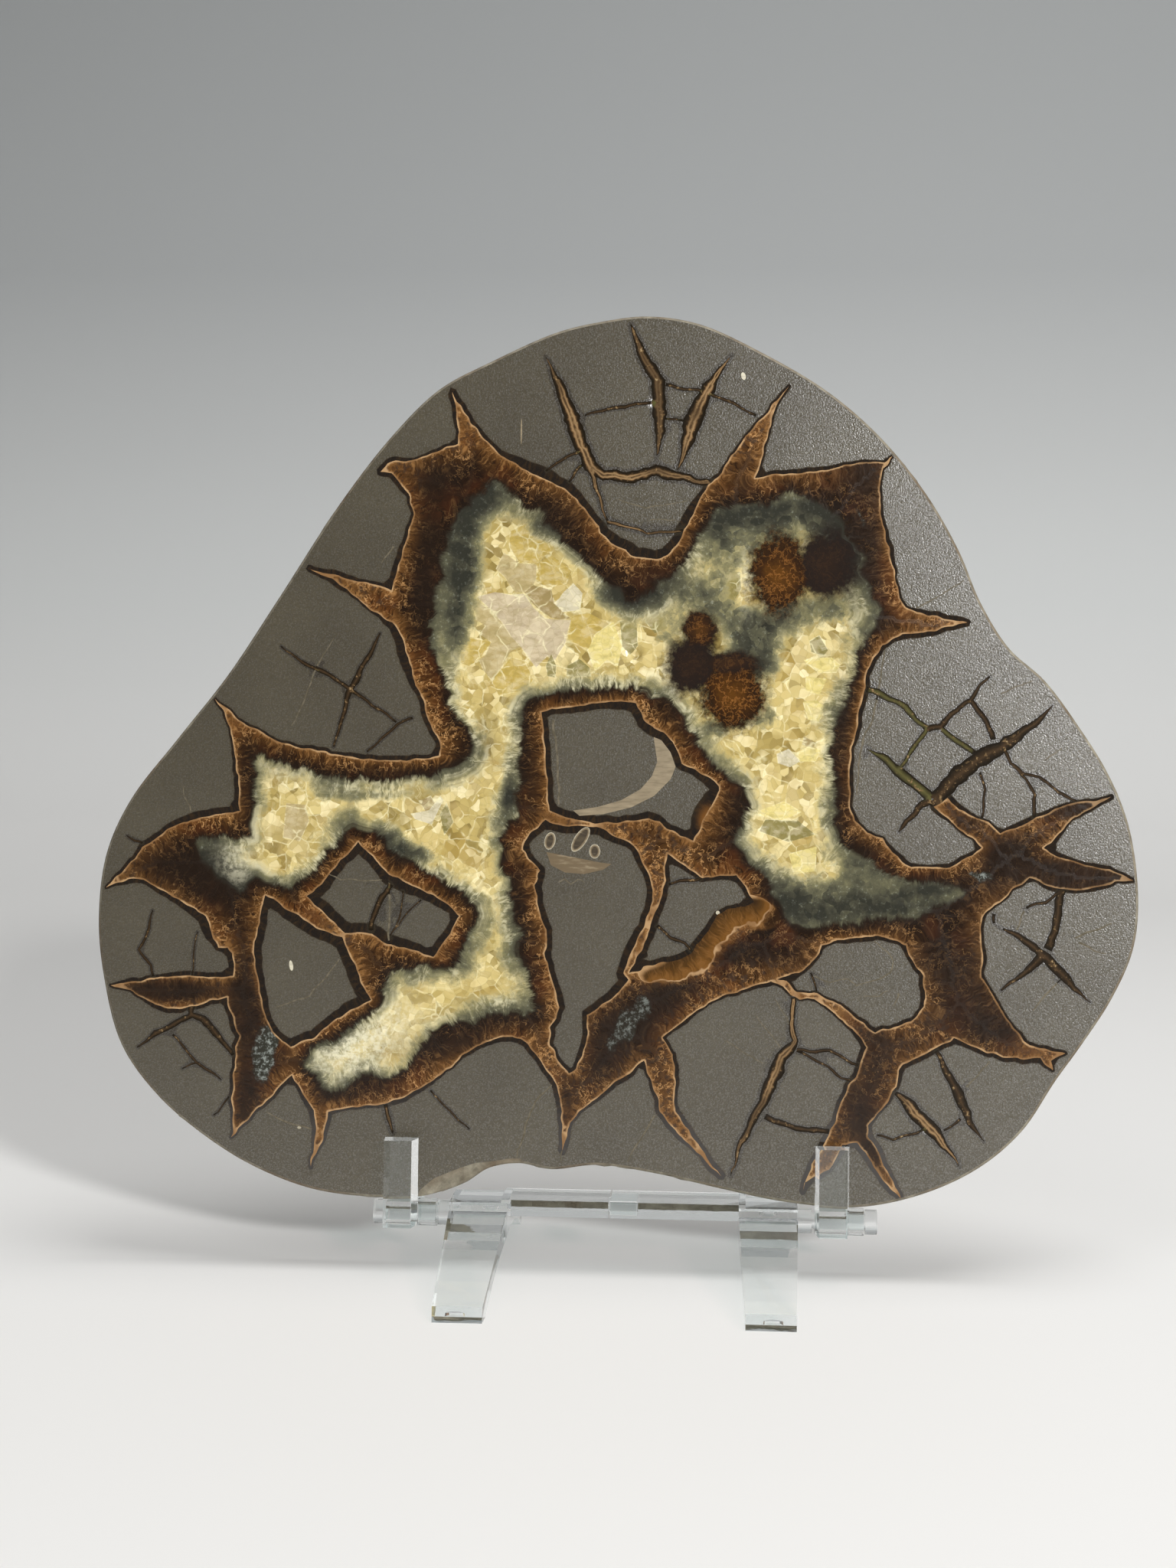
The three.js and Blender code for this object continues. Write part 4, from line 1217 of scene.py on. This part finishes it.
# %% Mudstone's grain and stains
mudstone, n, spot = new_material("mudstone")
grain = n.noise(spot, 2.6, 3.0, 0.75)
colour = n.ramp(n.noise(spot, 0.07, 3.0, 0.55), [(0.3, 67, 60, 45), (0.7, 77, 70, 53)])
colour = colour.mix(grain.step(0.38, 0.68, 0.5, 0.0), (60, 55, 42))
colour = colour.mix(n.cells(spot, 1.3, "Distance").step(0.0, 0.16, 0.6, 0.0), (108, 102, 84))
colour = colour.mix(n.cells(spot, 0.16, "Distance").step(0.0, 0.035, 0.8, 0.0), (48, 42, 32))
wall, wide = n.value("wall_mm"), n.value("wide_stain")
stain_width = (
    n.noise(spot, 0.11, 1.0).step(0.35, 0.65, 0.15, 0.55) + wide * 2.7 + n.noise(spot, 0.9, 3.0) * 0.3)
past_edge = wall - stain_width
colour = colour.mix(past_edge.step(0.0, 0.8, 0.3, 0.0), (54, 44, 27))
fibres, _ = n.group(fibre_group, Along=n.value("along_mm"), Away=wall, Fineness=2.6, Stretch=0.5)
stain = n.mix(fibres.step(0.42, 0.68), (22, 14, 6), (44, 30, 12))
stain = stain.mix(wall.step(0.9, 2.0, 0.0, 0.45), (46, 36, 19))
stain = stain.mix(wide.step(0.45, 0.85) * past_edge.step(-2.4, -0.2, 1.0, 0.35), (116, 74, 26))
colour = colour.mix(past_edge.step(-0.05, 0.05, 1.0, 0.0), stain)
tell(mudstone)

# %% [markdown]
# The veins have a thin dark edge too. A thin pale line is painted along the sawn edge of the slice: a
# painted highlight where the arris catches the light. The polish is satin: a broad soft gloss in which the
# grain glitters, so the grain is in the gloss and in the bump as well.

# %% Mudstone's veins and polish
tone = n.value("vein_tone")
halo_width = tone.step(0.4, 0.5, 0.24, 0.5) + n.noise(spot, 0.7) * 0.2
halo = n.value("vein_mm").step(halo_width * 0.5, halo_width, 0.85, 0.0) * tone.step(0.7, 0.95, 1.0, 0.0)
colour = colour.mix(halo, (42, 35, 23))
# painted highlight: a near-white line along the arris of the rim, standing in for the light it catches
rim_painted_highlight = (n.value("rim_mm") + grain * 0.3).step(0.28, 0.5, 0.85, 0.0)
plain_stone = past_edge.step(-0.1, 0.15)
glitter = n.noise(spot, 4.2, 2.0, 0.7)
n.fill(
    n.shader, Base_Color=colour.mix(rim_painted_highlight, (186, 181, 168)),
    Roughness=plain_stone * glitter.step(0.3, 0.7, 0.09, 0.21) + 0.09,
    Coat_Weight=plain_stone * glitter.step(0.42, 0.62, 0.1, 1.0),
    Normal=n.bump((glitter - 0.5) * plain_stone, 0.28, 0.0002),
    Coat_Roughness=0.19, Coat_IOR=1.75, Specular_IOR_Level=0.9,
)
tell(mudstone)

# %% [markdown]
# ## The brown lining
#
# Fibrous calcite grew out from the wall of each crack. It is orange-brown near the wall and almost black at
# the core, so its colours follow the distance from the wall, and its streaks follow the fibres.

# %% Lining's fibres
lining, n, spot = new_material("brown fibrous calcite")
core, dark, on_shelf = n.value("core_mm"), n.value("dark"), n.value("shelf").step(0.3, 0.6)
wall = n.value("wall_mm")
fibres, tufts = n.group(fibre_group, Along=n.value("along_mm"), Away=wall, Fineness=3.2, Stretch=0.45)
wall = wall - on_shelf * n.noise(spot, 0.3).step(0.3, 0.7, 2.3, 3.3)
blotch = n.noise(spot, 0.45, 4.0, 0.65)
away = wall + tufts.centred(1.8) + blotch.centred(3.0)
across = (wall / (wall - core).at_least(0.3) + (tufts + blotch - 1.0) * 0.55) * core.step(-10.0, -6.0)
deep = (away * 0.17).at_least(across)
colour = n.ramp(deep, [
    (0.0, 118, 82, 43), (0.12, 90, 59, 27), (0.34, 64, 40, 16), (0.6, 40, 24, 10), (0.85, 24, 14, 7),
])
pale_share = deep.step(0.15, 0.85, 1.0, 0.35)
colour = colour.mix(n.noise(spot, 0.14).step(0.5, 0.66) * 0.35, (92, 48, 17))
colour = colour.mix(fibres.step(0.52, 0.72, 0.0, 0.65) * pale_share, (154, 112, 64))
colour = colour.mix(fibres.step(0.5, 0.3, 0.0, 0.85), (28, 16, 7))
curls, = n.group(thread_group, Place=spot, Scale=0.55, Width=0.022)
curls = curls * n.noise(spot, 0.2, 1.0).step(0.4, 0.6, 0.1, 0.95)
colour = colour.mix(curls * pale_share, (180, 136, 86))
mottle = n.noise(spot, 0.9, 3.0, 0.7).step(0.5, 0.64) * core.step(-9.0, -4.5, 1.0, 0.0)
colour = colour.mix(mottle * 0.75, (58, 43, 31))
colour = colour.mix(dark * blotch.step(0.35, 0.6, 1.0, 0.72) * 0.97, (28, 17, 9))
tell(lining)

# %% [markdown]
# Over the fibres lie the band, a thin tan line at the wall, and the smooth orange-brown shelf.

# %% Lining's band, wall line and shelf
colour, _ = under_band(n, colour, spot, core)
colour = colour.mix(dark * 0.5, (33, 23, 15))
tan_width = n.noise(spot, 0.8) * 0.38 + fibres * 0.24
tan = (wall - tan_width).step(-0.2, 0.02, 1.0, 0.0) * dark.step(0.3, 1.0, 0.9, 0.6)
colour = colour.mix(tan, n.mix(n.noise(spot, 0.35).step(0.4, 0.6), (134, 100, 64), (176, 142, 102)))
shelf = n.ramp((wall + tufts * 0.8) * 0.3 + 0.8, [(0.0, 50, 33, 13), (0.35, 76, 50, 18), (0.8, 108, 71, 28)])
shelf = shelf.mix(fibres.step(0.48, 0.7, 0.0, 0.35), (132, 90, 42))
shelf = shelf.mix(fibres.step(0.5, 0.3, 0.0, 0.5), (46, 30, 12))
n.fill(
    n.shader, Base_Color=colour.mix(on_shelf * wall.step(-0.1, 0.05, 1.0, 0.0), shelf),
    Roughness=fibres.step(0.3, 0.7, 0.15, 0.24), Normal=n.bump(fibres, 0.1, 0.0002),
    Specular_IOR_Level=0.3, Coat_Weight=0.05, Coat_Roughness=0.1,
)
tell(lining)

# %% [markdown]
# ## The yellow core
#
# The core is a mass of clear to milky calcite crystals, cut through and polished. Big and small cells give
# crystals of different tints, and the single crystals have tints of their own.

# %% Core's crystals
core_stuff, n, spot = new_material("yellow calcite crystals")
bent = n.bent(spot, 0.4, 1.2)
BIG, SMALL = 0.3, 0.8
big, small = n.cells(bent, BIG), n.cells(bent, SMALL)
tint = n.ramp(n.red(big), [
    (0.0, 132, 114, 60), (0.25, 182, 160, 96), (0.5, 210, 190, 128),
    (0.75, 164, 138, 72), (1.0, 226, 211, 160),
])
tint_small = n.ramp(n.red(small), [
    (0.0, 122, 103, 52), (0.35, 178, 157, 92), (0.7, 208, 190, 130), (1.0, 236, 224, 180),
])
colour = tint.mix(n.noise(spot, 0.3).step(0.4, 0.6, 0.25, 0.8), tint_small)
single = n.value("crystal_tint")
named = n.ramp(single * 0.1, [
    (0.0, 186, 167, 104), (0.05, 188, 172, 146), (0.15, 146, 126, 84), (0.25, 182, 157, 78),
    (0.35, 218, 202, 128), (0.45, 118, 111, 62), (0.55, 206, 198, 172), (0.65, 176, 158, 114),
], "CONSTANT")
milk = n.noise(n.vector("MULTIPLY", bent, (0.5, 0.5, 0.9)), 1.0, 3.0, 0.6)
named = named.mix(milk.step(0.42, 0.66, 0.0, 0.4), (214, 202, 170))
named = named.mix(milk.step(0.5, 0.32, 0.0, 0.35), (138, 124, 76))
colour = colour.mix(single.step(0.2, 0.6, 0.0, 0.88), named)
tell(core_stuff)

# %% [markdown]
# Near its edge the core is fine needles, and further in its crystals have thin bright edges. The ends of the
# field are like white sugar.

# %% Core's needles and edges
core = n.value("core_mm")
fibres, _ = n.group(fibre_group, Along=n.value("along_mm"), Away=core, Fineness=1.7, Stretch=0.7)
near_edge = core.step(1.5, 5.0, 1.0, 0.0)
colour = colour.mix(fibres.step(0.5, 0.72, 0.0, 0.55) * near_edge, (232, 224, 182))
colour = colour.mix(fibres.step(0.5, 0.3, 0.0, 0.4) * near_edge, (150, 136, 84))
big_edge, small_edge = (n.cells(bent, scale, "Distance", "DISTANCE_TO_EDGE") for scale in (BIG, SMALL))
bright_edge = big_edge.step(0.0, 0.045, 1.0, 0.0) * n.noise(spot, 0.5).step(0.42, 0.6, 0.0, 0.55)
single_edge = n.value("crystal_mm").step(0.0, 0.12, 1.0, 0.0) * milk.step(0.42, 0.6, 0.0, 0.55)
colour = colour.mix(bright_edge.at_least(single_edge), (238, 230, 186))
colour = colour.mix(small_edge.step(0.0, 0.07, 0.22, 0.0), (142, 128, 78))
colour, band_share = under_band(n, colour, spot, core)
sugar = n.value("sugar") * n.noise(spot, 1.4, 4.0, 0.7).step(0.4, 0.62, 0.2, 0.9)
colour = colour.mix(sugar * core.step(-0.4, 0.8), (224, 218, 188))
tell(core_stuff)

# %% [markdown]
# The balls of brown fibres are round and fuzzy. Each crystal has a tilt of its own, but the polish over all
# of them is smooth: the tilt goes into the normal of the whole shader, and stays small.

# %% Core's balls and polish
ball, ball_dark = n.value("ball"), n.value("ball_dark")
fuzzy = ball + (n.noise(spot, 0.24, 3.0, 0.6).centred(0.8) + n.noise(spot, 1.1, 4.0, 0.75).centred(0.8))
ball_colour = n.ramp(fuzzy, [(0.0, 28, 21, 14), (0.2, 38, 23, 9), (0.5, 58, 34, 10), (0.9, 88, 54, 16)])
curls, = n.group(thread_group, Place=spot, Scale=0.8, Width=0.045)
ball_colour = ball_colour.mix(curls * ball.step(0.0, 0.7, 0.2, 0.75), (140, 92, 42))
ball_colour = ball_colour.mix(ball_dark * 0.92, (31, 24, 20))
colour = colour.mix(n.value("dark") * 0.5, (34, 31, 25))
colour = colour.mix(fuzzy.step(-0.3 - ball_dark * 0.15, 0.2), ball_colour)
bare = (1.0 - band_share) * fuzzy.step(-0.1, 0.1, 1.0, 0.0)
tilts = [
    n.vector("SCALE", n.vector("SUBTRACT", cells, (0.5, 0.5, 0.5)), Scale=bare * size)
    for cells, size in ((big, 0.14), (small, 0.15))
]
surface = Wire(n, n.add("NewGeometry").outputs["Normal"])
normal = n.vector("NORMALIZE", n.vector("ADD", surface, n.vector("ADD", *tilts)))
n.fill(
    n.shader, Base_Color=colour, Normal=n.bump(fibres * near_edge, 0.1, 0.0003, Normal=normal),
    Roughness=0.18, Specular_IOR_Level=0.25, Coat_Weight=0.06, Coat_Roughness=0.08,
    Subsurface_Weight=0.15, Subsurface_Radius=(0.001, 0.0008, 0.0005), Subsurface_Scale=1.0,
)
tell(core_stuff)

# %% [markdown]
# ## Veins, shells and the rind
#
# A vein has dark sides and a filling: tan and brown streaks, dark, or olive, and some are just a pale
# thread.

# %% Veins
vein_stuff, n, spot = new_material("vein calcite")
tone, ratio = n.value("vein_tone"), n.value("vein_ratio")
fleck = n.noise(spot, 1.5, 3.0, 0.65)
wavy = ratio + n.noise(spot, 0.9).centred(0.6)
tan_fill, dark_fill, olive_fill = (n.ramp(wavy, stops) for stops in (
    [(0.0, 72, 54, 35), (0.1, 116, 91, 61), (0.28, 150, 122, 87), (0.42, 106, 80, 51), (0.56, 38, 28, 16)],
    [(0.0, 66, 50, 33), (0.35, 46, 35, 22), (0.7, 32, 25, 16)],
    [(0.0, 84, 80, 46), (0.45, 62, 58, 33), (0.8, 36, 32, 18)],
))
tan_fill = tan_fill.mix(n.noise(spot, 0.11).step(0.42, 0.58) * 0.75, dark_fill)
colour = dark_fill.mix(tone.step(0.2, 0.25), olive_fill).mix(tone.step(0.4, 0.5), tan_fill)
colour = colour.mix(fleck.step(0.56, 0.68) * ratio.step(0.8, 0.4), (122, 98, 66))
colour = colour.mix(ratio.step(0.62, 0.85, 0.0, 0.95), (26, 20, 11))
# pale cream flecks in the vein middles: partly flecks of calcite, partly painted glints of pitted veins
# catching the light
colour = colour.mix(fleck.step(0.66, 0.72) * ratio.step(0.7, 0.3) * 0.6, (176, 158, 122))
thread = n.mix(fleck.step(0.4, 0.6), (84, 77, 62), (108, 100, 84))
n.fill(
    n.shader, Base_Color=colour.mix(tone.step(0.8, 0.9), thread), Normal=n.bump(fleck, 0.15, 0.0002),
    Roughness=0.2, Specular_IOR_Level=0.2,
)
tell(vein_stuff)

# %% [markdown]
# Shells are pale and finely banded. The rind is the nodule's own skin, where the saw didn't go: rough, dull
# and clay-brown.

# %% Shells and rind
shell_stuff, n, spot = new_material("fossil shell")
bands = n.noise(n.vector("MULTIPLY", spot, (0.5, 0.5, 2.6)), 1.0, 3.0)
colour = n.ramp(n.value("fossil_tone"), [
    (0.35, 52, 42, 27), (0.45, 104, 88, 64), (0.75, 136, 122, 98), (1.0, 206, 200, 178),
])
colour = colour.mix(bands.step(0.45, 0.7, 0.0, 0.45), (92, 80, 58))
n.fill(n.shader, Base_Color=colour.mix(bands.step(0.45, 0.3, 0.0, 0.35), (168, 154, 126)), Roughness=0.35)
tell(shell_stuff)

rind, n, spot = new_material("weathered rind")
rough = n.noise(spot, 0.6, 5.0, 0.65)
colour = n.ramp(rough, [(0.3, 100, 92, 76), (0.5, 130, 122, 105), (0.72, 160, 153, 134)])
colour = colour.mix(n.noise(spot, 0.12).step(0.45, 0.65, 0.0, 0.5), (96, 74, 48))
n.fill(n.shader, Base_Color=colour, Normal=n.bump(rough, 0.5, 0.0006), Roughness=0.75)
tell(rind)

# %% [markdown]
# ## Build the stone and the crystals
#
# The two solids take the places of the plain ones in the frame and move with the stand's cradle.

# %% Stone and crystals
stone_slots = [SLOT_OF[z] for z in zone[zone != CORE]]
stone = solid(
    "polished_stone", zone != CORE, stone_slots, [mudstone, lining, vein_stuff, shell_stuff, rind], True)
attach(stone, "cradle")
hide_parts("nodule_slice")
yellow = solid("yellow_crystals", zone == CORE, [0] * int((zone == CORE).sum()), [core_stuff])
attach(yellow, "cradle")
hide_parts("calcite_crystals")
for made in (stone, yellow):
    print(made.name, len(made.data.polygons), "faces")

# %% [markdown]
# ## The clear stand
#
# The stand is moulded in clear plastic: two halves that plug together, and two wings that swivel on its
# ends. Their solids are right already, so they only need a clear material. Clear plastic is plain
# transmission with the plastic's own bending of light. Its shadows and its inner reflections would come out
# black, so for rays that look for light, or have turned often already, it is simply see-through.

# %% Clear plastic
clear, n, spot = new_material("clear moulded plastic")
n.fill(
    n.shader, Base_Color=(0.97, 0.985, 0.985, 1), Transmission_Weight=1.0, Roughness=0.04, IOR=1.49,
    Normal=n.bump(n.noise(spot, 0.35), 0.06, 0.0004),
)
rays = n.add("LightPath").outputs
shadow_ray, diffuse_ray, depth = (
    Wire(n, rays[label]) for label in ("Is Shadow Ray", "Is Diffuse Ray", "Ray Depth"))
late = n.math("GREATER_THAN", depth, 2.5)
see_through = n.fill(n.add("BsdfTransparent"), (0.93, 0.95, 0.95, 1))
both = n.fill(
    n.add("MixShader"), shadow_ray.at_least(diffuse_ray).at_least(late),
    Wire(n, n.shader.outputs[0]), see_through)
n.fill(clear.node_tree.nodes["Material Output"], Surface=both)
for name in ("stand_half_left", "stand_half_right", "wing_left", "wing_right"):
    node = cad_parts[name]
    node.data.materials.clear()
    node.data.materials.append(clear)
tell(clear)

# %% [markdown]
# ## Table and backdrop
#
# The table is pale and runs up into a plain backdrop in a soft curve, painted greyer with height: painted
# shade.

# %% Stage
pale, n, spot = new_material("pale table")
split = n.add("SeparateXYZ")
n.fill(split, spot)
# painted shade: the colour darkens with height up the backdrop, for the light that falls off higher up
backdrop_painted_shade = n.ramp(Wire(n, split.outputs["Z"]) * 0.002, [
    (0.0, 0.82, 0.81, 0.79, 1), (0.25, 0.6, 0.61, 0.6, 1),
    (0.6, 0.36, 0.37, 0.37, 1), (1.0, 0.28, 0.29, 0.29, 1),
])
n.fill(n.shader, Base_Color=backdrop_painted_shade, Roughness=0.6)
PROFILE = ((-1.2, 0.0), (0.55, 0.0), (0.68, 0.02), (0.78, 0.08), (0.84, 0.2), (0.86, 0.4), (0.86, 2.0))
stage_corners = np.array([(x, y, z - 0.00005) for y, z in PROFILE for x in (-2.0, 2.0)])
stage_faces = [(k, k + 1, k + 3, k + 2) for k in range(0, 2 * len(PROFILE) - 2, 2)]
floor = make_object("table_and_backdrop", stage_corners, stage_faces, [pale], [0] * len(stage_faces))
floor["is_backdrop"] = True
print(floor.name, len(stage_faces), "faces")

# %% [markdown]
# ## Light
#
# A soft lamp above and in front gives even light, one overhead lights the table, and a smaller one at the
# right puts a sheen on that side of the polish.

# %% Lamps
def lamp(name, where, aim, size, watts):
    data = bpy.data.lights.new(name, "AREA")
    data.shape = "DISK"
    data.size = size
    data.energy = watts
    made = new_object(name, data)
    made.location = where
    made.rotation_euler = (Vector(aim) - Vector(where)).to_track_quat("-Z", "Y").to_euler()


lamp("key_lamp", (-0.5, -0.7, 1.1), (0, 0, 0.06), 0.7, 1.5)
lamp("sheen_lamp", (0.56, -1.1, 0.52), (0.03, 0, 0.08), 0.14, 14)
lamp("top_lamp", (0.3, -0.1, 1.2), (0, 0.1, 0), 0.8, 8.5)
world = bpy.data.worlds.new("soft room")
world.use_nodes = True
world.node_tree.nodes["Background"].inputs["Color"].default_value = (0.97, 0.98, 1.0, 1)
world.node_tree.nodes["Background"].inputs["Strength"].default_value = 0.15
bpy.context.scene.world = world
bpy.context.scene.view_settings.view_transform = "Standard"
print(len(bpy.data.lights), "lamps")

# %% Finish
looks_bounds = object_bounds()
growth = max(abs(a - b) for p, q in zip(cad_bounds, looks_bounds) for a, b in zip(p, q))
print("box grew by", round(growth / MM, 2), "mm at most")
